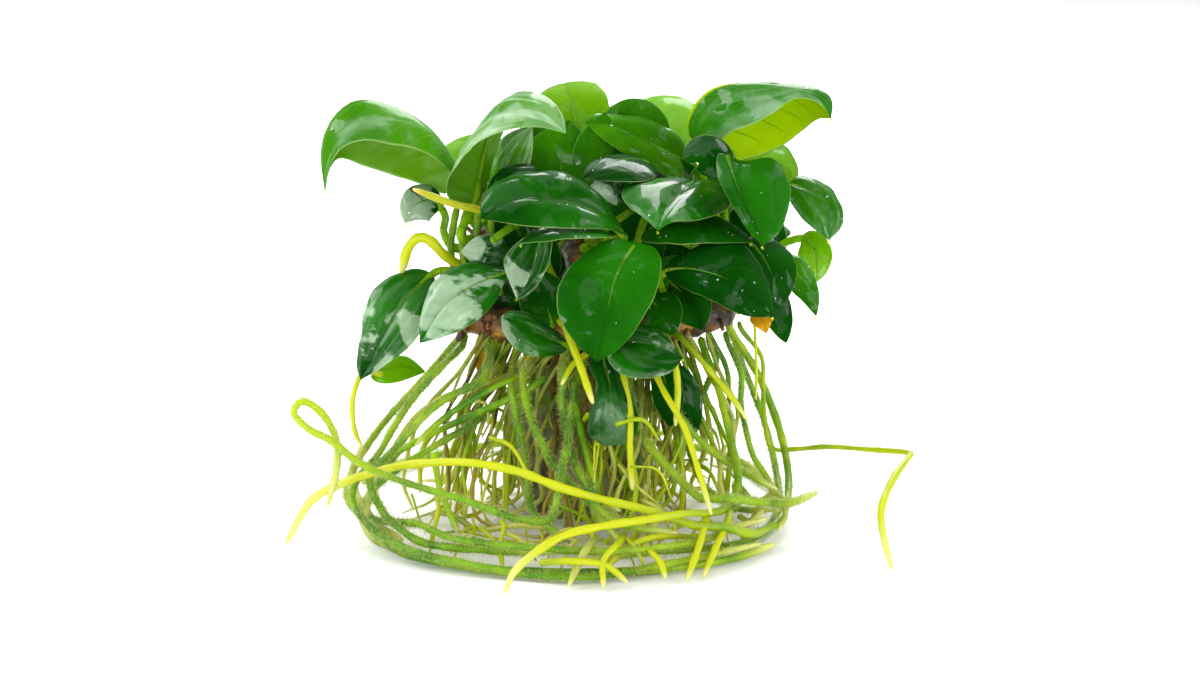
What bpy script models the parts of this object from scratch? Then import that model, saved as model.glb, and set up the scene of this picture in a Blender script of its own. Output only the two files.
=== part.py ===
"""A small water plant of the Anubias nana kind, grown onto a stone, with bare roots.

Lengths are in millimetres until a mesh is made. X runs to the right, Y away from the front, Z up,
and the origin is the middle of the stone's flat underside.
"""

import math
from collections import namedtuple

import bmesh
import bpy
import numpy as np
from mathutils import Vector, noise
from mathutils.bvhtree import BVHTree

MM = 0.001
GAP = 0.4

LEAF_THICK = 0.9
PETIOLE_RADIUS = 1.1
BASE_ROOM = 1.8
STUB_LENGTH = 3.5
PETIOLE_LIFT = 0.6
PETIOLE_LEAVE = 0.3
PETIOLE_ARRIVE = 0.35
BLADE_STATIONS = (0.07, 0.21, 0.38, 0.56, 0.74, 0.9)
ACROSS_STATIONS = (0.0, 0.55, 1.0)
SPLIT_DOWN = (0, 1, 4, 5)
FRAME_SAMPLES = 48

ROOT_SPACING = 12.5
ROOT_STUB_LENGTH = 2.8
STEM_SPACING = 7.0
ROOT_TIP = 0.55
ROOT_BEVEL_RESOLUTION = 1
STEM_BEVEL_RESOLUTION = 2

SETTLE_STEPS = 60
SETTLE_ROOM = 0.55
SETTLE_SHARE = 0.6
LONGEST_MOVE = 1.5
FLOOR_ROOM = 0.1

STONE_WIDTH = 34.0
STONE_DEPTH = 27.0
STONE_HEIGHT = 40.0
STONE_ROUGHNESS = 1.6
STONE_NOISE_SCALE = 0.09

COLOURS = {
    "dark": (0.008, 0.08, 0.010),
    "mid": (0.02, 0.16, 0.012),
    "bright": (0.10, 0.33, 0.012),
    "pale": (0.24, 0.46, 0.05),
    "green": (0.07, 0.20, 0.02),
    "yellow": (0.42, 0.52, 0.01),
    "brown": (0.12, 0.055, 0.018),
    "stone": (0.09, 0.08, 0.055),
}

Stem = namedtuple("Stem", "name radius points")
Leaf = namedtuple("Leaf", "name rooted base over1 over2 tip up width left right fold colour twist belly",
                  defaults=(0, 0.78))
Sheet = namedtuple("Sheet", "name rooted colour left_bow right_bow rib left right")
Root = namedtuple("Root", "name rooted radius points colour")

# The creeping stem and its branches, as centre lines.
STEMS = (
    Stem("rhizome", 4.8, ((-30, 1, 50), (-14, 0, 46.5), (6, 0, 46), (22, 1, 47.5), (38, 3, 51))),
    Stem("rhizome_branch_left", 3.8, ((-25.5, -2, 56.5), (-26, -3, 65), (-24, -3, 73))),
    Stem("rhizome_branch_middle", 3.8, ((1, 2, 53), (0, 4, 61), (-4, 6, 69))),
    Stem("rhizome_branch_right", 3.8, ((30, 5, 57), (33, 6, 64), (36, 7, 71))),
)

# A leaf is rooted at a stem, at a share of its length, at an angle round it: 0 faces the front,
# 90 faces up on the rhizome and left on a branch, 180 faces the back. Its midrib runs from base
# to tip over two handles, and up is the way that its top faces at the base. left and right are
# the degrees by which each half curls down towards its margin, and fold raises both from the midrib.
# twist turns the blade about its midrib from base to tip, and a higher belly is nearer to the tip.
LEAVES = (
    Leaf("leaf_back_yellow", ("rhizome_branch_middle", 0.8, 180), (-0.5, 18, 85), (-2.5, 20, 97),
         (-4.5, 32, 109), (-7.5, 44, 99), (0, -0.8, 0.6), 19, 30, 30, 6, "bright"),
    Leaf("leaf_middle_upright", ("rhizome_branch_middle", 0.95, 150), (-6, 10, 74), (-6.5, 8, 83),
         (-6, 8, 91), (-4, 14, 97), (0, -0.9, 0.2), 22, 25, 25, 6, "mid"),
    Leaf("leaf_back_pale", ("rhizome_branch_right", 0.7, 180), (21, 28, 81), (22, 30, 91),
         (19, 38, 100), (14, 48, 96), (0, -0.8, 0.6), 22, 30, 30, 6, "pale"),
    Leaf("leaf_centre_under", ("rhizome_branch_right", 0.5, 60), (15, -6, 72.5), (21, -11, 77.5),
         (31, -17, 78), (40, -22, 73.5), (0, -0.2, 0.95), 20, 35, 35, 6, "dark"),
    Leaf("leaf_front_left_under", ("rhizome_branch_middle", 0.3, 10), (6, -17.5, 74.5), (1, -22, 77.5),
         (-8, -28, 78.5), (-15, -32, 75.3), (0, -0.3, 0.95), 13, 5, 30, 6, "dark"),
    Leaf("leaf_folded", ("rhizome_branch_middle", 0.3, 60), (-10, -14, 75), (-11, -18, 70),
         (-13, -22, 64), (-16.5, -21, 59.5), (-0.5, -0.8, 0.2), 15, -20, -20, 15, "dark", 0, 1.1),
    Leaf("leaf_left_small", ("rhizome_branch_left", 0.6, 100), (-36, 10, 76), (-39.5, 9, 79),
         (-44, 8, 77), (-45, 8, 72), (-0.2, -0.5, 0.8), 12, 30, 30, 5, "dark"),
    Leaf("leaf_back_left_pale", ("rhizome_branch_left", 0.7, 180), (-26, 25, 81), (-28, 30, 88),
         (-33, 38, 90), (-36, 44, 85), (0, -0.7, 0.7), 18, 30, 30, 5, "pale"),
    Leaf("leaf_middle_dark", ("rhizome", 0.62, 80), (16, 2, 88), (12, -2, 91),
         (6, -5, 91), (0, -10, 86.5), (0, -0.4, 0.9), 19, 20, 70, 5, "dark"),
    Leaf("leaf_right_hanging", ("rhizome_branch_right", 0.4, 270), (54.5, 6, 69), (57.5, 5, 68),
         (58.5, 3, 64), (57.5, 2, 58), (0.3, -0.8, 0.4), 9, 20, 20, 5, "bright"),
    Leaf("leaf_right_curled", ("rhizome_branch_right", 0.25, 300), (45, -4, 61), (50, -5, 67),
         (55.5, -7, 61), (57, -8, 52), (0.3, -0.5, 0.8), 9, 60, 60, 5, "mid"),
    Leaf("leaf_right_bright", ("rhizome_branch_right", 0.9, 220), (39, 15, 82), (43, 15, 88),
         (50, 14, 88), (53, 13, 81), (0, -0.3, 0.95), 20, 40, 40, 5, "bright"),
    Leaf("leaf_right_under", ("rhizome_branch_right", 0.3, 0), (39, -8, 71), (43, -13, 70),
         (47, -17, 64), (47, -18, 56), (0.3, -0.7, 0.6), 16, 25, 25, 5, "dark"),
    Leaf("leaf_rear_left", ("rhizome", 0.15, 170), (-28, 26, 50), (-36, 32, 54),
         (-46, 38, 50), (-50, 42, 40), (-0.3, 0.3, 0.9), 20, 30, 30, 5, "dark"),
    Leaf("leaf_rear_middle_left", ("rhizome", 0.3, 150), (-16, 28, 74), (-19, 34, 86),
         (-24, 46, 86), (-27, 54, 74), (-0.1, 0.2, 0.95), 27, 30, 30, 5, "dark"),
    Leaf("leaf_rear_middle", ("rhizome", 0.45, 170), (2, 30, 66), (2, 38, 74),
         (3, 50, 72), (4, 57, 60), (0, 0.2, 0.95), 26, 30, 30, 5, "mid"),
    Leaf("leaf_rear_middle_right", ("rhizome", 0.7, 160), (27, 28, 72), (31, 36, 80),
         (36, 48, 78), (38, 54, 66), (0.1, 0.2, 0.95), 27, 30, 30, 5, "dark"),
    Leaf("leaf_rear_right", ("rhizome", 0.9, 170), (36, 20, 66), (42, 26, 73),
         (48, 34, 70), (49, 40, 60), (0.3, 0.2, 0.9), 21, 30, 30, 5, "dark"),
)

# A leaf whose midrib and two margins are each drawn through points. The margins start at the
# midrib's first point and end at its last. The bows are how far each half rises towards its top
# between midrib and margin.
SHEETS = (
    Sheet("leaf_left_arch", ("rhizome_branch_left", 0.95, 150), "mid", 3, 3,
          ((-31.5, 9, 84), (-37.5, 5, 94.5), (-45.5, 1, 101.5), (-55.5, -1, 104.5), (-61.5, -3, 100),
           (-63.5, -5, 92), (-63.5, -6, 83)),
          ((-33, 0, 86.5), (-38, -5, 91.5), (-45, -9, 94.5), (-53, -11, 96.5), (-58.5, -11, 94.5),
           (-62, -9, 89)),
          ((-35, 15, 78), (-41.5, 17, 80), (-48, 17, 82), (-55.5, 15, 85), (-61, 10, 88), (-63, 1, 86.5))),
    Sheet("leaf_left_crest", ("rhizome_branch_left", 0.8, 45), "mid", 1.5, 2,
          ((-27, -3, 78.5), (-26, 0, 86.5), (-23, 2, 97.5), (-17, -1, 106), (-8.5, -8, 105.5),
           (-4.5, -14, 98.5)),
          ((-24.5, 4, 81), (-22.5, 8, 89), (-18.5, 8, 98), (-11, 1, 103), (-5.5, -8, 101.5)),
          ((-33, -8, 81), (-33.5, -9, 85.5), (-30, -9, 91.5), (-25, -10, 96), (-18.5, -12, 99),
           (-11, -14, 100))),
    Sheet("leaf_top_right", ("rhizome_branch_right", 0.95, 150), "mid", 3, 2.5,
          ((28.5, 3, 91), (25.5, 2, 98.5), (30.5, 0, 106.5), (40.5, -2, 109), (51, -6, 108.5), (59, -9, 107),
           (59.5, -10, 101.5)),
          ((33.5, 10, 87), (41, 14, 87), (48, 14, 89.5), (54, 9, 95), (57, 0, 99.5)),
          ((31.5, -4, 93), (35.5, -9, 98), (40.5, -12, 100.5), (46, -14, 104), (51.5, -13, 107),
           (57, -12, 105))),
    Sheet("leaf_top_middle", ("rhizome_branch_middle", 0.85, 270), "mid", 1.2, 1.2,
          ((25.5, 10, 86.5), (17.5, 8, 91.5), (8, 8, 96.5), (0, 8, 97.5)),
          ((22.5, 7, 83.5), (17, 5, 86), (10, 4.5, 90), (4, 5.5, 94)),
          ((25, 12.5, 90.5), (22, 14, 94.5), (15, 13, 97.5), (8, 12, 99), (3, 10, 99.5))),
    Sheet("leaf_right_front", ("rhizome_branch_right", 0.9, 310), "dark", 2.5, 1,
          ((34, -14, 93.5), (36, -20, 88), (39.5, -25, 80.5), (42.5, -26, 73.5)),
          ((38.5, -10, 90.5), (45.5, -10, 91.5), (49.5, -13, 87.5), (49.5, -18, 81.5), (46.5, -23, 76)),
          ((32, -15, 93.5), (32, -19, 89), (34.5, -23, 84), (38.5, -26, 78))),
    Sheet("leaf_centre", ("rhizome_branch_right", 0.95, 75), "dark", 1.5, 2,
          ((27, 2, 83.5), (24, -8, 83.5), (20, -20, 81), (17.5, -28, 77.5)),
          ((33.5, -2, 84), (36, -9, 80.5), (32, -16, 79), (26.5, -21, 78.5), (21, -25, 79)),
          ((20.5, 0, 85), (13, -5, 84.5), (9, -11, 84), (10, -18, 82), (14, -24, 80))),
    Sheet("leaf_front_left_large", ("rhizome_branch_middle", 0.75, 330), "dark", 1.5, 2.5,
          ((10, -17, 74), (1, -20, 81), (-10.5, -24, 85), (-19, -27, 84), (-24.5, -28, 80.5)),
          ((5.5, -22, 76.5), (-3, -28, 78), (-11.5, -31, 79), (-18.5, -31, 80)),
          ((7, -13, 78), (3.5, -11, 83.5), (-5, -11, 88), (-14.5, -14, 89), (-21.5, -20, 87.5),
           (-24.5, -26, 84))),
    Sheet("leaf_front_hero", ("rhizome", 0.6, 30), "dark", 1.5, 1.5,
          ((12.5, -23, 73.5), (8, -30, 68), (5.5, -35, 60), (3, -38, 48)),
          ((17, -24, 72.5), (18.5, -28, 69), (17, -32.5, 63.5), (13.5, -35, 57), (8.5, -36.5, 51)),
          ((6.5, -22, 74), (-1.5, -25.5, 70.5), (-6, -30.5, 64.5), (-6, -34, 58.5), (-2, -36.5, 52))),
    Sheet("leaf_front_right", ("rhizome", 0.75, 30), "dark", 1.5, 2,
          ((19, -20, 66), (27, -26, 67.5), (36.5, -31, 65), (45, -30, 57)),
          ((22, -18, 69), (29.5, -19, 72.5), (36.5, -21, 73.5), (41.5, -24, 69.5), (44.5, -27, 63)),
          ((21, -22, 64), (26.5, -27, 62), (33.5, -31, 59.5), (39.5, -32, 57.5))),
    Sheet("leaf_right_outer", ("rhizome_branch_right", 0.65, 250), "mid", 1.5, 1.5,
          ((50.5, 4, 82.5), (57, 0, 81), (60.5, -3, 76.5), (60, -6, 70.5)),
          ((53.5, 6, 84.5), (60, 5, 82.5), (63.5, 1, 78), (63.5, -3, 73.5)),
          ((50.5, 0, 79.5), (53, -3, 76), (56, -6, 73.5))),
    Sheet("leaf_left_low", ("rhizome_branch_left", 0.4, 60), "dark", 1.5, 1.5,
          ((-37.5, -7, 62.5), (-44, -13, 57), (-49.5, -18, 48.5), (-54.5, -21, 39)),
          ((-36, -10, 58.5), (-38, -15, 53), (-42, -19, 47.5), (-48.5, -21, 42.5)),
          ((-42.5, -6, 63.5), (-49, -9, 61), (-53.5, -13, 55.5), (-55, -17, 48), (-55.5, -20, 42.5))),
    Sheet("leaf_left_middle", ("rhizome_branch_left", 0.3, 320), "dark", 1.5, 1.5,
          ((-18.5, -15, 64.5), (-27, -21, 62.5), (-34, -26, 58.5), (-39.5, -28, 50)),
          ((-20, -18, 61.5), (-23, -23, 57), (-28.5, -27, 53.5), (-34.5, -29, 51.5)),
          ((-21.5, -14, 65.5), (-27.5, -16, 67), (-33.5, -19, 65.5), (-37.5, -22, 61.5), (-39.5, -26, 55.5))),
    Sheet("leaf_left_inner", ("rhizome_branch_left", 0.9, 350), "dark", 1.2, 1.2,
          ((-10, 2, 81.5), (-14.5, -2, 85.5), (-20, -5, 85.5), (-24, -7, 80)),
          ((-12.5, -2, 80), (-17, -7, 81.5), (-21, -9, 80.5)),
          ((-10.5, 3, 86), (-15, 1, 88.5), (-20.5, -1, 87.5), (-23.5, -5, 84.5))),
    Sheet("leaf_front_small", ("rhizome", 0.4, 0), "dark", 1, 1,
          ((-3.5, -18, 46.5), (-9, -22, 50), (-14.5, -25, 53.5), (-20, -26, 56)),
          ((-6.5, -20, 45), (-11.5, -24, 45.5), (-16.5, -26, 48), (-19.5, -27, 52.5)),
          ((-5.5, -18, 49.5), (-9.5, -21, 53.5), (-14, -24, 56.5), (-18, -26, 57.5))),
    Sheet("leaf_front_round", ("rhizome", 0.62, 0), "dark", 1, 1,
          ((8, -25, 50), (13.5, -29, 50.5), (18.5, -32, 50), (23.5, -33, 47.5)),
          ((11.5, -24, 54), (16.5, -27, 53.5), (20.5, -30, 51.5)),
          ((5.5, -30, 47), (9, -33, 43.5), (15, -35, 43), (20.5, -35, 44.5))),
    Sheet("leaf_front_hanging", ("rhizome", 0.5, 340), "dark", 1, 1,
          ((4, -19, 45.5), (6, -25, 39), (6.5, -28, 32), (5, -27, 24)),
          ((8.5, -21, 42), (10.5, -24, 37.5), (13.5, -27, 31), (11.5, -28, 25.5)),
          ((1, -22, 43), (3, -25, 38), (1.5, -26, 32.5), (1, -27, 27))),
)

# A root is rooted in the same way, and its centre line then passes through its points.
ROOTS = (
    Root("root_front_left", ("rhizome", 0.27, 290), 0.9,
         ((-15, -14, 39), (-14.5, -18, 33), (-12, -23, 27), (-8, -28, 21), (-3, -34, 16.5),
          (3, -40, 12.5), (10, -45, 9.5), (22, -46, 8)), "green"),
    Root("root_front_left_outer", ("rhizome", 0.2, 300), 0.85,
         ((-18, -14, 36), (-17, -17, 30), (-15.5, -20, 24), (-14, -26, 17), (-13, -32, 10),
          (-9, -38, 7), (-1, -43, 4.5)), "green"),
    Root("root_front_middle", ("rhizome", 0.38, 335), 0.95,
         ((-5, -16, 39), (-5, -18, 33), (-4, -22, 25), (-2, -28, 19), (1, -34, 15),
          (4, -40, 10), (9, -46, 5.5)), "green"),
    Root("root_long_yellow", ("rhizome", 0.97, 230), 1.05,
         ((43, 10, 34), (49, 6, 20), (51, -8, 9), (47, -28, 5), (38, -41, 7), (27, -47, 11),
          (13, -50, 15.5), (4, -51, 18), (-6, -51, 21), (-15, -49, 24), (-25, -47, 25.5),
          (-33, -44, 25), (-43, -40, 23), (-57, -35, 17.5), (-66, -33, 12), (-72, -35, 2)), "yellow"),
    Root("root_looped", ("rhizome", 0.45, 330), 0.85,
         ((-3, -16, 35), (-4, -24, 26), (-6, -35, 17), (-8, -44, 11), (-15, -48, 12),
          (-27, -50, 17), (-36, -49, 19.5), (-44, -47, 21.5), (-53, -45, 25), (-60, -43, 30),
          (-65, -41, 32), (-69, -39, 35.5), (-67, -37, 38), (-62.5, -37, 35), (-59, -39, 29),
          (-59, -41, 22), (-61, -43, 14)), "green"),
    Root("root_ring_front", ("rhizome", 0.02, 300), 0.85,
         ((-36, -16, 40), (-42, -20, 34), (-47, -24, 27), (-50, -27, 22), (-55.5, -27, 15),
          (-56, -30, 10), (-51, -38, 6.5), (-41, -47, 4), (-29, -53, 3), (-15, -57, 1.5),
          (-5, -59, 1.5), (4, -58.5, 1.5), (14, -56, 2.5), (28, -50, 3.5), (42, -42, 4)), "green"),
    Root("root_left", ("rhizome", 0.12, 310), 0.9,
         ((-25, -18, 38), (-32, -22, 35.5), (-38, -25, 32), (-46, -30, 24), (-52, -30, 17),
          (-49, -36, 11), (-39, -44, 6.5), (-31, -48, 5), (-20, -49, 4.5), (-6, -50, 4.5)), "green"),
    Root("root_left_inner", ("rhizome", 0.16, 270), 0.85,
         ((-21, -9, 31), (-27, -12, 26), (-35, -16, 22), (-43, -20, 18), (-51, -22, 12),
          (-53, -32, 7)), "green"),
    Root("root_ring_left", ("rhizome", 0.03, 200), 0.85,
         ((-40, 12, 32), (-52, 14, 18), (-59, 2, 9), (-58, -18, 6.5), (-48, -36, 8),
          (-32, -48, 7.5), (-12, -54, 7), (8, -55, 6.5), (28, -47, 6.5), (44, -36, 8)), "green"),
    Root("root_yellow_front", ("rhizome", 0.85, 300), 0.95,
         ((33, -10, 34), (36, -18, 22), (37, -30, 14), (31, -42, 12), (24, -49, 13), (15, -54, 14),
          (4, -58, 13.5), (-4, -61, 12.5), (-10, -64, 10), (-16, -67, 5.5), (-18, -70, 1.5)), "yellow"),
    Root("root_right_reaching", ("rhizome", 0.99, 330), 0.6,
         ((44, -1, 40), (45, 0, 26), (47, 4, 15), (61, 0, 16), (71, -6, 17), (80, -14, 18.5),
          (79, -20, 18.5), (75, -28, 16), (71.5, -37, 12), (71, -44, 8), (72.5, -53, 1.5)), "yellow"),
    Root("root_right_inner", ("rhizome", 0.88, 270), 0.8,
         ((33, 1, 38), (29, 0, 28), (26, -2, 18), (29, -6, 9), (38, -14, 4), (48, -14, 2.5)), "green"),
    Root("root_right_outer", ("rhizome", 0.94, 290), 0.75,
         ((39, -2, 36), (39, -3, 28), (40, -5, 23), (42, -8, 16), (46, -12, 10), (47, -20, 5)), "green"),
    Root("root_front_right_short", ("rhizome", 0.72, 350), 0.75,
         ((22, -18, 50), (26, -23, 47), (31, -27, 42), (36, -31, 36.5), (39, -34, 32.5)), "yellow"),
    Root("root_front_bright", ("rhizome", 0.7, 335), 0.75,
         ((17, -15, 44), (17, -22, 42), (19, -29, 38.5), (24, -36, 31), (30, -50, 14)), "yellow"),
    Root("root_front_hairy", ("rhizome", 0.55, 290), 1.0,
         ((11, -16, 34), (13.5, -20, 26), (17, -26, 22), (23, -32, 17), (28, -37, 14),
          (34, -38, 13), (42, -34, 12), (50, -28, 10), (57, -20, 10)), "green"),
    Root("root_right_diagonal", ("rhizome", 0.68, 290), 0.85,
         ((19, -13, 35), (25.5, -18, 26), (33, -21, 20), (40, -23, 16), (47, -24, 12)), "green"),
    Root("root_ring_right", ("rhizome", 0.97, 180), 0.85,
         ((40, 16, 34), (46, 20, 18), (49, 6, 6), (48, -12, 2.5), (42, -30, 2), (30, -42, 3),
          (14, -50, 4.5), (-4, -54, 3)), "green"),
    Root("root_rear_right", ("rhizome", 0.5, 240), 0.9,
         ((8, 18, 32), (16, 34, 20), (26, 48, 8), (10, 57, 2), (-14, 56, 2), (-38, 42, 2),
          (-52, 26, 3), (-57, 8, 4)), "green"),
    Root("root_rear_left", ("rhizome", 0.25, 240), 0.9,
         ((-18, 18, 32), (-28, 34, 18), (-20, 50, 6), (4, 52, 3), (28, 45, 3), (42, 30, 2.5),
          (48, 12, 1.5)), "green"),
)


def point_on(controls, t):
    """A cubic curve's point at t, from its two ends and two handles."""
    p0, p1, p2, p3 = controls
    u = 1 - t
    return p0 * u**3 + p1 * 3 * u * u * t + p2 * 3 * u * t * t + p3 * t**3


def smooth_path(points, spacing):
    """Points along a Catmull-Rom curve through the given ones, at most spacing apart."""
    pts = [2 * points[0] - points[1], *points, 2 * points[-1] - points[-2]]
    path = [points[0]]
    for a, b, c, d in zip(pts, pts[1:], pts[2:], pts[3:]):
        steps = max(1, math.ceil((c - b).length / spacing))
        for k in range(1, steps + 1):
            t = k / steps
            path.append(0.5 * (2 * b + (c - a) * t + (2 * a - 5 * b + 4 * c - d) * t * t
                               + (3 * b - a - 3 * c + d) * t**3))
    return path


def evenly(points, count):
    """count + 1 points at even distances along a smooth curve through the given ones."""
    path = smooth_path(points, 1.0)
    lengths = [0.0]
    for a, b in zip(path, path[1:]):
        lengths.append(lengths[-1] + (b - a).length)
    even = []
    for step in range(count + 1):
        want = lengths[-1] * step / count
        k = max(i for i, length in enumerate(lengths[:-1]) if length <= want)
        even.append(path[k].lerp(path[k + 1], (want - lengths[k]) / (lengths[k + 1] - lengths[k])))
    return even


def stem_place(rooted, out):
    """The point at out beyond a stem's surface, and the outward direction there."""
    name, share, degrees = rooted
    stem = next(s for s in STEMS if s.name == name)
    path = smooth_path([Vector(p) for p in stem.points], ROOT_SPACING / 2)
    place = share * (len(path) - 1)
    k = min(int(place), len(path) - 2)
    centre = path[k].lerp(path[k + 1], place - k)
    along = (path[k + 1] - path[k]).normalized()
    front = Vector((0, -1, 0))
    front = (front - along * front.dot(along)).normalized()
    over = front.cross(along)
    angle = math.radians(degrees)
    outward = front * math.cos(angle) + over * math.sin(angle)
    return centre + outward * (stem.radius + out), outward


class Blade:
    """A leaf's blade as a surface: its midrib, the way it faces along it and its outline."""

    def __init__(self, leaf):
        self.leaf = leaf
        controls = [Vector(p) for p in (leaf.base, leaf.over1, leaf.over2, leaf.tip)]
        self.points = [point_on(controls, k / FRAME_SAMPLES) for k in range(FRAME_SAMPLES + 1)]
        ends = [self.points[0]] + self.points + [self.points[-1]]
        self.along = [(b - a).normalized() for a, b in zip(ends, ends[2:])]
        up = Vector(leaf.up)
        self.ups = []
        for k, along in enumerate(self.along):
            up = (up - along * up.dot(along)).normalized()
            turn = math.radians(leaf.twist) * k / FRAME_SAMPLES
            self.ups.append(up * math.cos(turn) + along.cross(up) * math.sin(turn))
        lengths = [0.0]
        for a, b in zip(self.points, self.points[1:]):
            lengths.append(lengths[-1] + (b - a).length)
        self.shares = [length / lengths[-1] for length in lengths]

    def frame(self, share):
        """The midrib's point, direction, upward and rightward vectors at a share of its length."""
        k = max(i for i, s in enumerate(self.shares[:-1]) if s <= share)
        t = (share - self.shares[k]) / (self.shares[k + 1] - self.shares[k])
        along = self.along[k].lerp(self.along[k + 1], t).normalized()
        up = self.ups[k].lerp(self.ups[k + 1], t)
        up = (up - along * up.dot(along)).normalized()
        return self.points[k].lerp(self.points[k + 1], t), along, up, along.cross(up)

    def half_width(self, share):
        """The outline: broad and round at the base, drawn out to a point at the tip."""
        share = min(max(share, 0.0), 1.0)
        return self.leaf.width / 2 * math.sin(math.pi * share**self.leaf.belly) ** (0.55 + 0.25 * share)

    def across(self, share, reach):
        """The middle of the blade at reach across it, from -1 at the left margin to 1."""
        point, _, up, right = self.frame(share)
        fold = math.radians(self.leaf.fold)
        curl = math.radians(self.leaf.right if reach > 0 else self.leaf.left)
        x = abs(reach)
        width = self.half_width(share)
        if abs(curl) < 1e-3:
            side, rise = x * math.cos(fold), x * math.sin(fold)
        else:
            side = (math.sin(fold) - math.sin(fold - curl * x)) / curl
            rise = (math.cos(fold - curl * x) - math.cos(fold)) / curl
        return point + right * math.copysign(side * width, reach) + up * rise * width

    def facing(self, share, reach):
        """The way that the blade's top faces at a place."""
        a = self.across(share, min(reach + 0.02, 1)) - self.across(share, max(reach - 0.02, -1))
        b = self.across(min(share + 0.01, 1), reach) - self.across(max(share - 0.01, 0), reach)
        return a.cross(b).normalized()

    def ring(self, share):
        """Eight points round the blade: over its top from left to right, then back below it."""
        reaches = [-x for x in reversed(ACROSS_STATIONS[1:])] + list(ACROSS_STATIONS)
        top, below = [], []
        for reach in reaches:
            middle = self.across(share, reach)
            facing = self.facing(share, reach)
            thick = LEAF_THICK * (1 - 0.75 * abs(reach)) * (1 - 0.5 * share) / 2
            top.append(middle + facing * thick)
            below.append(middle - facing * thick)
        return top + below[-2:0:-1]


class DrawnBlade(Blade):
    """A blade between two drawn margins, on either side of its drawn midrib."""

    def __init__(self, leaf):
        self.leaf = leaf
        rib = [Vector(p) for p in leaf.rib]
        self.points = evenly(rib, FRAME_SAMPLES)
        ends = [self.points[0]] + self.points + [self.points[-1]]
        self.along = [(b - a).normalized() for a, b in zip(ends, ends[2:])]
        self.shares = [k / FRAME_SAMPLES for k in range(FRAME_SAMPLES + 1)]
        self.margins = {
            side: evenly([rib[0]] + [Vector(p) for p in points] + [rib[-1]], FRAME_SAMPLES)
            for side, points in ((-1, leaf.left), (1, leaf.right))}
        self.ups = []
        for k, along in enumerate(self.along):
            inner = min(max(k, 3), FRAME_SAMPLES - 3)
            spread = self.margins[1][inner] - self.margins[-1][inner]
            self.ups.append(spread.cross(along).normalized())

    def across(self, share, reach):
        """The middle of the blade at reach across it, from -1 at the left margin to 1."""
        point, _, up, _ = self.frame(share)
        margin = self.margins[1 if reach > 0 else -1]
        place = min(max(share, 0.0), 1.0) * FRAME_SAMPLES
        k = min(int(place), FRAME_SAMPLES - 1)
        edge = margin[k].lerp(margin[k + 1], place - k)
        x = abs(reach)
        bow = self.leaf.right_bow if reach > 0 else self.leaf.left_bow
        rise = bow * 4 * x * (1 - x) * math.sin(math.pi * place / FRAME_SAMPLES)
        return point.lerp(edge, x) + up * rise


def tube_ring(centre, along, up, radius):
    """Eight points round a stalk, in the order of a blade's ring."""
    up = (up - along * up.dot(along)).normalized()
    right = along.cross(up)
    return [
        centre + radius * (up * math.sin(math.radians(a)) + right * math.cos(math.radians(a)))
        for a in (180, 135, 90, 45, 0, -45, -90, -135)
    ]


def petiole_start(leaf, blade):
    """The stalk's free line from the stem to the blade's base, before it makes room."""
    start, outward = stem_place(leaf.rooted, GAP)
    stub = start + outward * STUB_LENGTH
    base = blade.points[0]
    reach = (base - stub).length
    arrive = (blade.along[0] + (base - stub).normalized()).normalized()
    leave = outward + Vector((0, 0, PETIOLE_LIFT))
    controls = (stub, stub + leave * reach * PETIOLE_LEAVE, base - arrive * reach * PETIOLE_ARRIVE, base)
    return [start, stub] + [point_on(controls, t) for t in (0.35, 0.7)] + [base]


def nearest_between(p, q, a, b):
    """For pairs of segments p to q and a to b, the shares along each where they are nearest."""
    d1, d2, r = q - p, b - a, p - a
    aa, ee = (d1 * d1).sum(1), (d2 * d2).sum(1)
    bb, cc, ff = (d1 * d2).sum(1), (d1 * r).sum(1), (d2 * r).sum(1)
    spread = np.maximum(aa * ee - bb * bb, 1e-9)
    s = np.clip((bb * ff - cc * ee) / spread, 0, 1)
    t = np.clip((bb * s + ff) / ee, 0, 1)
    s = np.clip((bb * t - cc) / aa, 0, 1)
    return s, t


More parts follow.
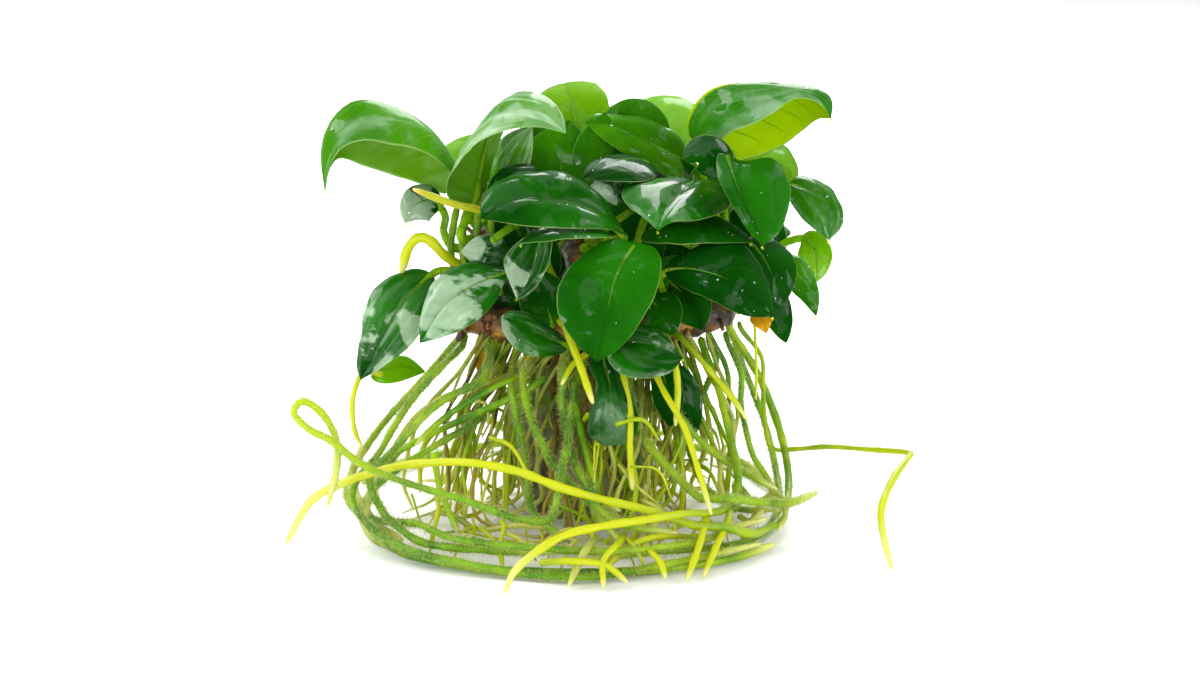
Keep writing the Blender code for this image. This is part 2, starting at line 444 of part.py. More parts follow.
def settle(strands, blockers):
    """Moves the free points of crossing strands apart and off the solids in their way.

    A strand is a dict of its points, radius, the number of points fixed at its start and end, and
    the name of its own solid. blockers maps a solid's name to its BVHTree and its corners.
    """
    points = np.array([p for s in strands for p in s["points"]], dtype=float)
    owner = np.repeat(np.arange(len(strands)), [len(s["points"]) for s in strands])
    radius = np.array([strands[k]["radius"] for k in owner])
    free = np.ones(len(points))
    first = 0
    for s in strands:
        last = first + len(s["points"])
        free[first:first + s["held_start"]] = 0
        free[last - s["held_end"]:last] = 0
        first = last
    starts = np.flatnonzero(owner[:-1] == owner[1:])
    i, j = np.triu_indices(len(starts), 1)
    apart = owner[starts[i]] != owner[starts[j]]
    i, j = starts[i[apart]], starts[j[apart]]
    room = radius[i] + radius[j] + SETTLE_ROOM
    for _ in range(SETTLE_STEPS):
        move = np.zeros_like(points)
        reach = np.linalg.norm(points[1:] - points[:-1], axis=1) / 2
        middle = (points[1:] + points[:-1]) / 2
        near = np.linalg.norm(middle[i] - middle[j], axis=1) < reach[i] + reach[j] + room
        a, b, need = i[near], j[near], room[near]
        s, t = nearest_between(points[a], points[a + 1], points[b], points[b + 1])
        gap = (points[a] + s[:, None] * (points[a + 1] - points[a])
               - points[b] - t[:, None] * (points[b + 1] - points[b]))
        size = np.linalg.norm(gap, axis=1)
        close = size < need
        push = gap[close] / np.maximum(size[close], 1e-6)[:, None] * ((need - size)[close] * 0.5)[:, None]
        for ends, share, sign in ((a[close], s[close], 1), (b[close], t[close], -1)):
            np.add.at(move, ends, sign * push * (1 - share)[:, None])
            np.add.at(move, ends + 1, sign * push * share[:, None])
        for k in starts:
            if free[k] + free[k + 1] == 0:
                continue
            for share in (0.25, 0.5, 0.75, 1.0):
                place = points[k] * (1 - share) + points[k + 1] * share
                keep = radius[k] + SETTLE_ROOM
                for name, (tree, low, high) in blockers.items():
                    if name == strands[owner[k]]["own"]:
                        continue
                    if (place < low - keep).any() or (place > high + keep).any():
                        continue
                    spot, normal, _, away = tree.find_nearest(Vector(place), keep + 2)
                    if spot is None:
                        continue
                    inside = (Vector(place) - spot).dot(normal) < 0
                    if inside or away < keep:
                        by = np.array(normal) * (keep + (away if inside else -away)) * SETTLE_SHARE
                        move[k] += by * (1 - share)
                        move[k + 1] += by * share
        move *= free[:, None]
        points += np.clip(move, -LONGEST_MOVE, LONGEST_MOVE)
        low = (points[:, 2] < radius + FLOOR_ROOM) & (free > 0)
        points[low, 2] = radius[low] + FLOOR_ROOM
    settled, first = [], 0
    for s in strands:
        last = first + len(s["points"])
        settled.append([Vector(p) for p in points[first:last]])
        first = last
    return settled


def blade_rings(blade):
    return [blade.ring(share) for share in BLADE_STATIONS]


def leaf_mesh(leaf, blade, stalk):
    """One closed loft from the stalk's foot to the leaf's tip."""
    rings = []
    back = stalk[-2] - stalk[-1]
    stalk = stalk[:-1] + [stalk[-1] + back.normalized() * min(BASE_ROOM, back.length / 2)]
    ends = [stalk[0]] + stalk + [blade.across(BLADE_STATIONS[0], 0)]
    ups = []
    up = blade.ups[0]
    for k in reversed(range(len(stalk))):
        along = (ends[k + 2] - ends[k]).normalized()
        up = (up - along * up.dot(along)).normalized()
        ups.insert(0, (along, up))
    for k, (centre, (along, up)) in enumerate(zip(stalk, ups)):
        widen = PETIOLE_RADIUS * (1.15 if k == 0 else 1.0)
        rings.append(tube_ring(centre, along, up, widen))
    rings += blade_rings(blade)
    return loft(leaf.name, rings, blade.points[-1])


def loft(name, rings, tip):
    """A closed mesh over rings of equally many points, ending in a point.

    A blade's upper and lower faces are split along the same lines, so that they stay apart.
    """
    bm = bmesh.new()
    rows = [[bm.verts.new(p * MM) for p in ring] for ring in rings]
    count = len(rows[0])
    for row, after in zip(rows, rows[1:]):
        for k in range(count):
            n = (k + 1) % count
            if k in SPLIT_DOWN:
                bm.faces.new((row[k], after[k], row[n]))
                bm.faces.new((after[k], after[n], row[n]))
            else:
                bm.faces.new((row[k], after[k], after[n]))
                bm.faces.new((row[k], after[n], row[n]))
    end = bm.verts.new(tip * MM)
    for k in range(count):
        bm.faces.new((rows[-1][k], end, rows[-1][(k + 1) % count]))
    bm.faces.new(rows[0])
    bmesh.ops.recalc_face_normals(bm, faces=bm.faces)
    mesh = bpy.data.meshes.new(name)
    bm.to_mesh(mesh)
    bm.free()
    return mesh


def finish(name, colour, roughness):
    """A Principled material for one piece."""
    mat = bpy.data.materials.new(name + "_finish")
    mat.use_nodes = True
    shader = mat.node_tree.nodes["Principled BSDF"]
    shader.inputs["Base Color"].default_value = (*COLOURS[colour], 1)
    shader.inputs["Roughness"].default_value = roughness
    shader.inputs["Metallic"].default_value = 0.0
    return mat


def add(collection, name, data, material):
    obj = bpy.data.objects.new(name, data)
    data.materials.append(material)
    collection.objects.link(obj)
    return obj


def tube(collection, name, points, radii, thickness, resolution, material):
    """A round cord through the points, as a curve with filled ends."""
    curve = bpy.data.curves.new(name, "CURVE")
    curve.dimensions = "3D"
    curve.bevel_depth = thickness * MM
    curve.bevel_resolution = resolution
    curve.use_fill_caps = True
    spline = curve.splines.new("POLY")
    spline.points.add(len(points) - 1)
    for spot, place, radius in zip(spline.points, points, radii):
        spot.co = (*(place * MM), 1)
        spot.radius = radius
    return add(collection, name, curve, material)


def add_stems(collection):
    """The rhizome and its branches, thicker where old leaves left their scars."""
    for stem in STEMS:
        path = smooth_path([Vector(p) for p in stem.points], STEM_SPACING)
        radii = [0.96 + 0.04 * math.cos(2.4 * k) for k in range(len(path))]
        radii[0] = 0.7
        radii[-1] = 0.62
        tube(collection, stem.name, path, radii, stem.radius, STEM_BEVEL_RESOLUTION,
             finish(stem.name, "brown", 0.75))


def add_stone(collection):
    """A water-worn stone: an uneven ball, pressed to its size and cut flat underneath."""
    bm = bmesh.new()
    bmesh.ops.create_icosphere(bm, subdivisions=3, radius=1.0)
    for vert in bm.verts:
        unit = vert.co.copy()
        place = Vector((unit.x * STONE_WIDTH, unit.y * STONE_DEPTH, unit.z * STONE_HEIGHT * 1.24)) / 2
        place += unit * STONE_ROUGHNESS * noise.noise(place * STONE_NOISE_SCALE)
        place.z = min(place.z + STONE_HEIGHT * 0.38, STONE_HEIGHT - 0.6 * unit.x * unit.x)
        vert.co = place * MM
    cut = bmesh.ops.bisect_plane(bm, geom=bm.verts[:] + bm.edges[:] + bm.faces[:],
                                 plane_co=(0, 0, 0), plane_no=(0, 0, 1), clear_inner=True)
    bmesh.ops.contextual_create(bm, geom=[e for e in cut["geom_cut"] if isinstance(e, bmesh.types.BMEdge)])
    bmesh.ops.recalc_face_normals(bm, faces=bm.faces)
    mesh = bpy.data.meshes.new("stone")
    bm.to_mesh(mesh)
    bm.free()
    return add(collection, "stone", mesh, finish("stone", "stone", 0.8))


def tree_of(obj):
    """A search tree over an object's evaluated mesh in millimetres, with its corners."""
    graph = bpy.context.evaluated_depsgraph_get()
    mesh = bpy.data.meshes.new_from_object(obj.evaluated_get(graph))
    places = [v.co / MM for v in mesh.vertices]
    mesh.calc_loop_triangles()
    faces = [tuple(t.vertices) for t in mesh.loop_triangles]
    bpy.data.meshes.remove(mesh)
    corners = np.array(places)
    return BVHTree.FromPolygons(places, faces), corners.min(0), corners.max(0)


def blade_tree(blade):
    """A search tree over a blade alone, with its corners."""
    rings = blade_rings(blade)
    places = [p for ring in rings for p in ring] + [blade.points[-1]]
    faces = []
    for row in range(len(rings) - 1):
        for k in range(8):
            a, b = row * 8 + k, row * 8 + (k + 1) % 8
            faces.append((a, a + 8, b + 8, b))
    last = (len(rings) - 1) * 8
    faces += [(last + k, len(places) - 1, last + (k + 1) % 8) for k in range(8)]
    corners = np.array(places)
    return BVHTree.FromPolygons(places, faces), corners.min(0), corners.max(0)


def root_start(root):
    """A root's line before it makes room: out of the stem, then through its points."""
    start, outward = stem_place(root.rooted, GAP)
    stub = start + outward * ROOT_STUB_LENGTH
    return [start] + smooth_path([stub] + [Vector(p) for p in root.points], ROOT_SPACING)


def main():
    for obj in list(bpy.data.objects):
        bpy.data.objects.remove(obj)
    collection = bpy.data.collections.new("anubias_on_stone")
    bpy.context.scene.collection.children.link(collection)
    stone = add_stone(collection)
    add_stems(collection)
    bpy.context.view_layer.update()

    leaves = LEAVES + SHEETS
    blades = [Blade(leaf) for leaf in LEAVES] + [DrawnBlade(leaf) for leaf in SHEETS]
    strands = []
    for leaf, blade in zip(leaves, blades):
        strands.append({"points": petiole_start(leaf, blade), "radius": PETIOLE_RADIUS,
                        "held_start": 2, "held_end": 1, "own": leaf.name})
    for root in ROOTS:
        strands.append({"points": root_start(root), "radius": root.radius,
                        "held_start": 2, "held_end": 0, "own": root.name})
    blockers = {leaf.name: blade_tree(blade) for leaf, blade in zip(leaves, blades)}
    for obj in [stone] + [collection.objects[stem.name] for stem in STEMS]:
        blockers[obj.name] = tree_of(obj)
    settled = settle(strands, blockers)

    for leaf, blade, stalk in zip(leaves, blades, settled):
        obj = add(collection, leaf.name, leaf_mesh(leaf, blade, stalk),
                  finish(leaf.name, leaf.colour, 0.25))
        obj.data.shade_smooth()
    for root, path in zip(ROOTS, settled[len(leaves):]):
        radii = [1.0] * (len(path) - 1) + [ROOT_TIP]
        tube(collection, root.name, path, radii, root.radius, ROOT_BEVEL_RESOLUTION,
             finish(root.name, root.colour, 0.4))


main()
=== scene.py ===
"""A wet anubias on its stone, with bare roots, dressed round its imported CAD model.

Lengths are in millimetres until a mesh is made. X runs to the right, Y away from the front, Z up.
"""

import math
import random
from collections import namedtuple

import bmesh
import bpy
import numpy as np
from bpy.props import FloatProperty, FloatVectorProperty, PointerProperty
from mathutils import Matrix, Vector, noise
from mathutils.bvhtree import BVHTree


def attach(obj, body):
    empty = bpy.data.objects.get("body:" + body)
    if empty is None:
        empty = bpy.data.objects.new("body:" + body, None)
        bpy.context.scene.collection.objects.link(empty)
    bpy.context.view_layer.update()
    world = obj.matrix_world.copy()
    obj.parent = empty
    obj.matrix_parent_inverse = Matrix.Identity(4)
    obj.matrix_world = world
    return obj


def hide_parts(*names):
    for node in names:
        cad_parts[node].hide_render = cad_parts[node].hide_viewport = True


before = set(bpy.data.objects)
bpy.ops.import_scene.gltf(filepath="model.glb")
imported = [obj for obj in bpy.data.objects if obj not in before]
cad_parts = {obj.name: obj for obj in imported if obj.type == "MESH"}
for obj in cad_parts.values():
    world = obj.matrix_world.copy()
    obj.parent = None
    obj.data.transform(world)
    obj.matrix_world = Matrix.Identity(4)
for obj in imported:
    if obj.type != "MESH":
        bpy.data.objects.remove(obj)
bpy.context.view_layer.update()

bl_info = {
    "name": "Anubias on stone",
    "version": (1, 0, 0),
    "blender": (4, 5, 0),
    "location": "3D View > Sidebar > Anubias",
    "description": "A water plant with glossy leaves and long roots on a small stone",
    "category": "Object",
}

MM = 0.001
BODY = "root"

FRAME_SAMPLES = 48
LEAF_ROWS = 44
LEAF_COLUMNS = 22
LEAF_SOLID_RINGS = 12
STALK_SIDES = 10
STALK_SPACING = 1.2
FOOT_SWELL = 0.35
FOOT_STEPS = 5
SMALL_STALK_SHARE = 0.6
RIB_STEPS = 18
RIB_REACH = 14
RIB_DEPTH = 0.25
RIB_TAPER = 0.82
ROOT_SIDES = 10
ROOT_SPACING = 1.6
MAIN_TAPER_STEPS = 6
SIDE_TAPER_STEPS = 3
REACHING_SWELL = 0.5
THIN_SIDES = 6
THIN_SPACING = 2.4
THIN_RADII = (0.35, 0.45, 0.55, 0.7)
THIN_LUMPS = 0.2
THIN_TAPER_STEPS = 5
HAIR_SIDES = 3
HAIR_LEAN = (0.7, 0.7, 3.1)
HAIR_SHORTEST = 0.35
HAIR_LONGEST = 1.2
STEM_SIDES = 20
STEM_SPACING = 1.0
DROP_RADII = (0.15, 0.2, 0.3)
DROP_LIFT = 0.35
DROP_HEIGHT = 0.6
TIP_DROP_RADIUS = 0.33
TIP_DROP_HEIGHT = 1.3
TIP_DROP_SHARE = 0.6

STONE_WIDTH = 34.0
STONE_DEPTH = 27.0
STONE_HEIGHT = 40.0
STONE_ROUGHNESS = 1.6
STONE_NOISE_SCALE = 0.09

CAMERA_TARGET = Vector((3.75, 0, 44.4)) * MM
CAMERA_DISTANCE = 0.715
CAMERA_ELEVATION = math.radians(14)
CAMERA_LENS = 85.8
FLOOR_REACH = 6.0

# How wet a leaf is, how fresh its green and how much its underside is lit from behind, which is painted as
# a glow and lets more light through, each from 0 to 1
USUAL_STATE = (0.4, 0.25, 0)

Leaf = namedtuple("Leaf", "name base over1 over2 tip up width left right tone fold state twist belly",
                  defaults=("dark", 5, USUAL_STATE, 0, 0.78))
Sheet = namedtuple("Sheet", "name tone state left_bow right_bow rib left right")
Cord = namedtuple("Cord", "name tone radius points")


def core_leaf(name, width, tone, *midrib):
    """An upright leaf deep inside the plant, which fills a gap between the large ones."""
    return Leaf("small_leaf_core_" + name, *midrib, (0, -1, 0.1), width, 25, 25, tone)


# A midrib runs from base to tip over two handles, and up is the way that the blade's top faces at
# its base. left and right are the degrees by which each half curls down towards its margin, and
# fold raises both from the midrib. twist turns the blade about its midrib from base to tip, and a
# higher belly is nearer to the tip.
LEAVES = (
    Leaf("leaf_back_yellow", (-0.5, 18, 85), (-2.5, 20, 97), (-4.5, 32, 109), (-7.5, 44, 99),
         (0, -0.8, 0.6), 19, 30, 30, "bright", 6),
    Leaf("leaf_middle_upright", (-6, 10, 74), (-6.5, 8, 83), (-6, 8, 91), (-4, 14, 97),
         (0, -0.9, 0.2), 22, 25, 25, "mid", 6, state=(0.3, 0.3, 0)),
    Leaf("leaf_back_pale", (21, 28, 81), (22, 30, 91), (19, 38, 100), (14, 48, 96),
         (0, -0.8, 0.6), 22, 30, 30, "pale", 6),
    Leaf("leaf_centre_under", (15, -6, 72.5), (21, -11, 77.5), (31, -17, 78), (40, -22, 73.5),
         (0, -0.2, 0.95), 20, 35, 35, "dark", 6),
    Leaf("leaf_front_left_under", (6, -17.5, 74.5), (1, -22, 77.5), (-8, -28, 78.5), (-15, -32, 75.3),
         (0, -0.3, 0.95), 13, 5, 30, "dark", 6),
    Leaf("leaf_folded", (-10, -14, 75), (-11, -18, 70), (-13, -22, 64), (-16.5, -21, 59.5),
         (-0.5, -0.8, 0.2), 15, -20, -20, "dark", 15, state=(0.75, 0.1, 0), belly=1.1),
    Leaf("leaf_left_small", (-36, 10, 76), (-39.5, 9, 79), (-44, 8, 77), (-45, 8, 72),
         (-0.2, -0.5, 0.8), 12, 30, 30, state=(0.9, 0.1, 0)),
    Leaf("leaf_back_left_pale", (-26, 25, 81), (-28, 30, 88), (-33, 38, 90), (-36, 44, 85),
         (0, -0.7, 0.7), 18, 30, 30, "pale"),
    Leaf("leaf_middle_dark", (16, 2, 88), (12, -2, 91), (6, -5, 91), (0, -10, 86.5),
         (0, -0.4, 0.9), 19, 20, 70, state=(0.6, 0, 0)),
    Leaf("leaf_right_hanging", (54.5, 6, 69), (57.5, 5, 68), (58.5, 3, 64), (57.5, 2, 58),
         (0.3, -0.8, 0.4), 9, 20, 20, "bright"),
    Leaf("leaf_right_curled", (45, -4, 61), (50, -5, 67), (55.5, -7, 61), (57, -8, 52),
         (0.3, -0.5, 0.8), 9, 60, 60, "mid"),
    Leaf("leaf_right_bright", (39, 15, 82), (43, 15, 88), (50, 14, 88), (53, 13, 81),
         (0, -0.3, 0.95), 20, 40, 40, "bright"),
    Leaf("leaf_right_under", (39, -8, 71), (43, -13, 70), (47, -17, 64), (47, -18, 56),
         (0.3, -0.7, 0.6), 16, 25, 25),
    Leaf("leaf_rear_left", (-28, 26, 50), (-36, 32, 54), (-46, 38, 50), (-50, 42, 40),
         (-0.3, 0.3, 0.9), 20, 30, 30),
    Leaf("leaf_rear_middle_left", (-16, 28, 74), (-19, 34, 86), (-24, 46, 86), (-27, 54, 74),
         (-0.1, 0.2, 0.95), 27, 30, 30),
    Leaf("leaf_rear_middle", (2, 30, 66), (2, 38, 74), (3, 50, 72), (4, 57, 60),
         (0, 0.2, 0.95), 26, 30, 30, "mid"),
    Leaf("leaf_rear_middle_right", (27, 28, 72), (31, 36, 80), (36, 48, 78), (38, 54, 66),
         (0.1, 0.2, 0.95), 27, 30, 30),
    Leaf("leaf_rear_right", (36, 20, 66), (42, 26, 73), (48, 34, 70), (49, 40, 60),
         (0.3, 0.2, 0.9), 21, 30, 30),
)

# Leaves too small or too far inside for a solid of their own
SMALL_LEAVES = (
    Leaf("small_leaf_top", (15, 14, 88), (14.5, 13, 93), (11, 13, 99), (6, 15, 100),
         (0, -0.8, 0.5), 11, 30, 30, "bright"),
    Leaf("small_leaf_left_low", (-53, -4, 35), (-50, -5, 38), (-45, -4, 39), (-40, -2, 36),
         (0, -0.7, 0.7), 8, 25, 25, "bright"),
    Leaf("small_leaf_left_stems", (-18, -5, 65), (-21, -7, 69), (-25, -9, 70), (-29, -10, 66),
         (0, -0.6, 0.8), 10, 30, 30),
    Leaf("small_leaf_inside", (-23, 9, 80), (-20, 8, 86), (-17, 6, 92), (-13, 4, 97),
         (-0.3, -0.9, 0.2), 11, 25, 25, "mid", state=(0.9, 0.6, 0)),
    Leaf("small_leaf_right_tuft", (45, -6, 60), (47, -8, 56), (48, -10, 51), (49.5, -12, 46),
         (0.2, -0.9, 0.3), 8, 30, 30),
    Leaf("small_leaf_shadow_high", (21, -12, 61), (24, -15, 60), (27, -18, 56), (28.5, -19, 51),
         (0.2, -0.9, 0.3), 12, 25, 25),
    Leaf("small_leaf_shadow_low", (16, -18, 58), (18, -21, 58), (20, -23, 55), (21.5, -24, 51),
         (0, -0.9, 0.4), 10, 25, 25),
    Leaf("small_leaf_hanging_left", (19, -13, 39), (20, -17, 37), (21.5, -19, 31), (21, -17, 26),
         (0.1, -1, 0.1), 8, 20, 20),
    Leaf("small_leaf_hanging_right", (22, -11, 40), (24, -14, 37), (27, -16, 30), (27, -15, 23),
         (0.2, -1, 0.1), 7, 20, 20),
    Leaf("small_leaf_rim", (19.5, 13, 91), (17, 13, 98), (11, 13, 101), (4, 13, 97),
         (0, -0.8, 0.5), 9, 20, 20, "mid"),
    Leaf("small_leaf_lobe", (33.5, -11, 87), (31.5, -12, 94), (27, -13, 96), (24.5, -13, 91),
         (0, -0.95, 0.3), 10, 20, 20),
    core_leaf("one", 20, "dark", (-14, 2, 54), (-15, 1, 62), (-17, 0, 70), (-19, 1, 78)),
    core_leaf("two", 24, "dark", (-2, 12, 52), (-3, 12, 62), (-5, 11, 76), (-7, 11, 89)),
    core_leaf("three", 22, "dark", (9, 6, 54), (10, 6, 64), (10, 6, 78), (9, 7, 93)),
    core_leaf("four", 24, "dark", (24, 11, 58), (25, 10, 68), (25, 9, 78), (24, 9, 88)),
    core_leaf("five", 18, "dark", (40, 12, 56), (42, 12, 64), (43, 11, 72), (43, 11, 80)),
    core_leaf("six", 13, "dark", (-8, -9, 50), (-9, -11, 55), (-11, -12, 60), (-13, -12, 65)),
    core_leaf("seven", 14, "dark", (-12, 4, 46), (-15, 3, 50), (-19, 2, 55), (-23, 2, 60)),
    core_leaf("eight", 14, "dark", (14, 2, 50), (17, 2, 54), (21, 2, 59), (26, 2, 65)),
    core_leaf("nine", 14, "mid", (29, 8, 73), (31, 8, 78), (34, 8, 84), (36, 8, 91)),
    core_leaf("ten", 15, "mid", (-10, 14, 78), (-11, 14, 85), (-12, 14, 92), (-13, 14, 99)),
    core_leaf("eleven", 14, "dark", (15, 12, 74), (17, 12, 79), (19, 12, 84), (21, 12, 90)),
    core_leaf("twelve", 13, "mid", (2, 8, 80), (3, 8, 87), (4, 8, 94), (5, 8, 100)),
    Leaf("small_leaf_silver", (10, -4, 81), (8, -8, 84), (5, -10, 85.5), (1, -10, 84),
         (0, -0.8, 0.6), 8, 20, 20, state=(1, 0, 0)),
    Leaf("small_leaf_band", (-19, -9, 66), (-22, -13, 69), (-26, -14, 70), (-30, -13, 69),
         (0, -0.9, 0.4), 10, 25, 25, state=(1, 0, 0)),
    Leaf("small_leaf_sheath", (-24, 0, 47), (-25, -1, 44), (-26, -1, 39), (-26, 0, 33),
         (0, -0.9, 0.4), 5, 30, 30, "dying"),
    Leaf("small_leaf_yellow", (42, -9, 53), (43, -12, 53), (44, -14, 51.5), (44.5, -14, 49),
         (0.2, -0.9, 0.4), 5.5, 25, 25, "dying"),
)

# Each of these leaves has a midrib and two margins drawn through points. The margins start at the
# midrib's first point and end at its last. The bows are how far each half rises towards its top
# between midrib and margin.
SHEETS = (
    Sheet("leaf_left_arch", "mid", (0.64, 0.5, 0.1), 3, 3,
          ((-31.5, 9, 84), (-37.5, 5, 94.5), (-45.5, 1, 101.5), (-55.5, -1, 104.5), (-61.5, -3, 100),
           (-63.5, -5, 92), (-63.5, -6, 83)),
          ((-33, 0, 86.5), (-38, -5, 91.5), (-45, -9, 94.5), (-53, -11, 96.5), (-58.5, -11, 94.5),
           (-62, -9, 89)),
          ((-35, 15, 78), (-41.5, 17, 80), (-48, 17, 82), (-55.5, 15, 85), (-61, 10, 88), (-63, 1, 86.5))),
    Sheet("leaf_left_crest", "mid", (0.85, 0.4, 0.05), 1.5, 2,
          ((-27, -3, 78.5), (-26, 0, 86.5), (-23, 2, 97.5), (-17, -1, 106), (-8.5, -8, 105.5),
           (-4.5, -14, 98.5)),
          ((-24.5, 4, 81), (-22.5, 8, 89), (-18.5, 8, 98), (-11, 1, 103), (-5.5, -8, 101.5)),
          ((-33, -8, 81), (-33.5, -9, 85.5), (-30, -9, 91.5), (-25, -10, 96), (-18.5, -12, 99),
           (-11, -14, 100))),
    Sheet("leaf_top_right", "mid", (0.62, 0, 1), 3, 2.5,
          ((28.5, 3, 91), (25.5, 2, 98.5), (30.5, 0, 106.5), (40.5, -2, 109), (51, -6, 108.5),
           (59, -9, 107), (59.5, -10, 101.5)),
          ((33.5, 10, 87), (41, 14, 87), (48, 14, 89.5), (54, 9, 95), (57, 0, 99.5)),
          ((31.5, -4, 93), (35.5, -9, 98), (40.5, -12, 100.5), (46, -14, 104), (51.5, -13, 107),
           (57, -12, 105))),
    Sheet("leaf_top_middle", "mid", (0.5, 0.5, 0), 1.2, 1.2,
          ((25.5, 10, 86.5), (17.5, 8, 91.5), (8, 8, 96.5), (0, 8, 97.5)),
          ((22.5, 7, 83.5), (17, 5, 86), (10, 4.5, 90), (4, 5.5, 94)),
          ((25, 12.5, 90.5), (22, 14, 94.5), (15, 13, 97.5), (8, 12, 99), (3, 10, 99.5))),
    Sheet("leaf_right_front", "dark", (0.55, 0.6, 0), 2.5, 1,
          ((34, -14, 93.5), (36, -20, 88), (39.5, -25, 80.5), (42.5, -26, 73.5)),
          ((38.5, -10, 90.5), (45.5, -10, 91.5), (49.5, -13, 87.5), (49.5, -18, 81.5), (46.5, -23, 76)),
          ((32, -15, 93.5), (32, -19, 89), (34.5, -23, 84), (38.5, -26, 78))),
    Sheet("leaf_centre", "dark", (0.58, 0.5, 0), 1.5, 2,
          ((27, 2, 83.5), (24, -8, 83.5), (20, -20, 81), (17.5, -28, 77.5)),
          ((33.5, -2, 84), (36, -9, 80.5), (32, -16, 79), (26.5, -21, 78.5), (21, -25, 79)),
          ((20.5, 0, 85), (13, -5, 84.5), (9, -11, 84), (10, -18, 82), (14, -24, 80))),
    Sheet("leaf_front_left_large", "dark", (0.45, 0.25, 0), 1.5, 2.5,
          ((10, -17, 74), (1, -20, 81), (-10.5, -24, 85), (-19, -27, 84), (-24.5, -28, 80.5)),
          ((5.5, -22, 76.5), (-3, -28, 78), (-11.5, -31, 79), (-18.5, -31, 80)),
          ((7, -13, 78), (3.5, -11, 83.5), (-5, -11, 88), (-14.5, -14, 89), (-21.5, -20, 87.5),
           (-24.5, -26, 84))),
    Sheet("leaf_front_hero", "dark", (0.25, 0.55, 0), 1.5, 1.5,
          ((12.5, -23, 73.5), (8, -30, 68), (5.5, -35, 60), (3, -38, 48)),
          ((17, -24, 72.5), (18.5, -28, 69), (17, -32.5, 63.5), (13.5, -35, 57), (8.5, -36.5, 51)),
          ((6.5, -22, 74), (-1.5, -25.5, 70.5), (-6, -30.5, 64.5), (-6, -34, 58.5), (-2, -36.5, 52))),
    Sheet("leaf_front_right", "dark", (0.25, 0, 0), 1.5, 2,
          ((19, -20, 66), (27, -26, 67.5), (36.5, -31, 65), (45, -30, 57)),
          ((22, -18, 69), (29.5, -19, 72.5), (36.5, -21, 73.5), (41.5, -24, 69.5), (44.5, -27, 63)),
          ((21, -22, 64), (26.5, -27, 62), (33.5, -31, 59.5), (39.5, -32, 57.5))),
    Sheet("leaf_right_outer", "mid", (0.6, 0, 0), 1.5, 1.5,
          ((50.5, 4, 82.5), (57, 0, 81), (60.5, -3, 76.5), (60, -6, 70.5)),
          ((53.5, 6, 84.5), (60, 5, 82.5), (63.5, 1, 78), (63.5, -3, 73.5)),
          ((50.5, 0, 79.5), (53, -3, 76), (56, -6, 73.5))),
    Sheet("leaf_left_low", "dark", (1, 0.3, 0), 1.5, 1.5,
          ((-37.5, -7, 62.5), (-44, -13, 57), (-49.5, -18, 48.5), (-54.5, -21, 39)),
          ((-36, -10, 58.5), (-38, -15, 53), (-42, -19, 47.5), (-48.5, -21, 42.5)),
          ((-42.5, -6, 63.5), (-49, -9, 61), (-53.5, -13, 55.5), (-55, -17, 48), (-55.5, -20, 42.5))),
    Sheet("leaf_left_middle", "dark", (0.76, 0.3, 0), 1.5, 1.5,
          ((-18.5, -15, 64.5), (-27, -21, 62.5), (-34, -26, 58.5), (-39.5, -28, 50)),
          ((-20, -18, 61.5), (-23, -23, 57), (-28.5, -27, 53.5), (-34.5, -29, 51.5)),
          ((-21.5, -14, 65.5), (-27.5, -16, 67), (-33.5, -19, 65.5), (-37.5, -22, 61.5),
           (-39.5, -26, 55.5))),
    Sheet("leaf_left_inner", "dark", (0.6, 0.1, 0), 1.2, 1.2,
          ((-10, 2, 81.5), (-14.5, -2, 85.5), (-20, -5, 85.5), (-24, -7, 80)),
          ((-12.5, -2, 80), (-17, -7, 81.5), (-21, -9, 80.5)),
          ((-10.5, 3, 86), (-15, 1, 88.5), (-20.5, -1, 87.5), (-23.5, -5, 84.5))),
    Sheet("leaf_front_small", "dark", (0.66, 0.2, 0), 1, 1,
          ((-3.5, -18, 46.5), (-9, -22, 50), (-14.5, -25, 53.5), (-20, -26, 56)),
          ((-6.5, -20, 45), (-11.5, -24, 45.5), (-16.5, -26, 48), (-19.5, -27, 52.5)),
          ((-5.5, -18, 49.5), (-9.5, -21, 53.5), (-14, -24, 56.5), (-18, -26, 57.5))),
    Sheet("leaf_front_round", "dark", (0.68, 0.3, 0), 1, 1,
          ((8, -25, 50), (13.5, -29, 50.5), (18.5, -32, 50), (23.5, -33, 47.5)),
          ((11.5, -24, 54), (16.5, -27, 53.5), (20.5, -30, 51.5)),
          ((5.5, -30, 47), (9, -33, 43.5), (15, -35, 43), (20.5, -35, 44.5))),
    Sheet("leaf_front_hanging", "dark", (0.6, 0.1, 0), 1, 1,
          ((4, -19, 45.5), (6, -25, 39), (6.5, -28, 32), (5, -27, 24)),
          ((8.5, -21, 42), (10.5, -24, 37.5), (13.5, -27, 31), (11.5, -28, 25.5)),
          ((1, -22, 43), (3, -25, 38), (1.5, -26, 32.5), (1, -27, 27))),
)

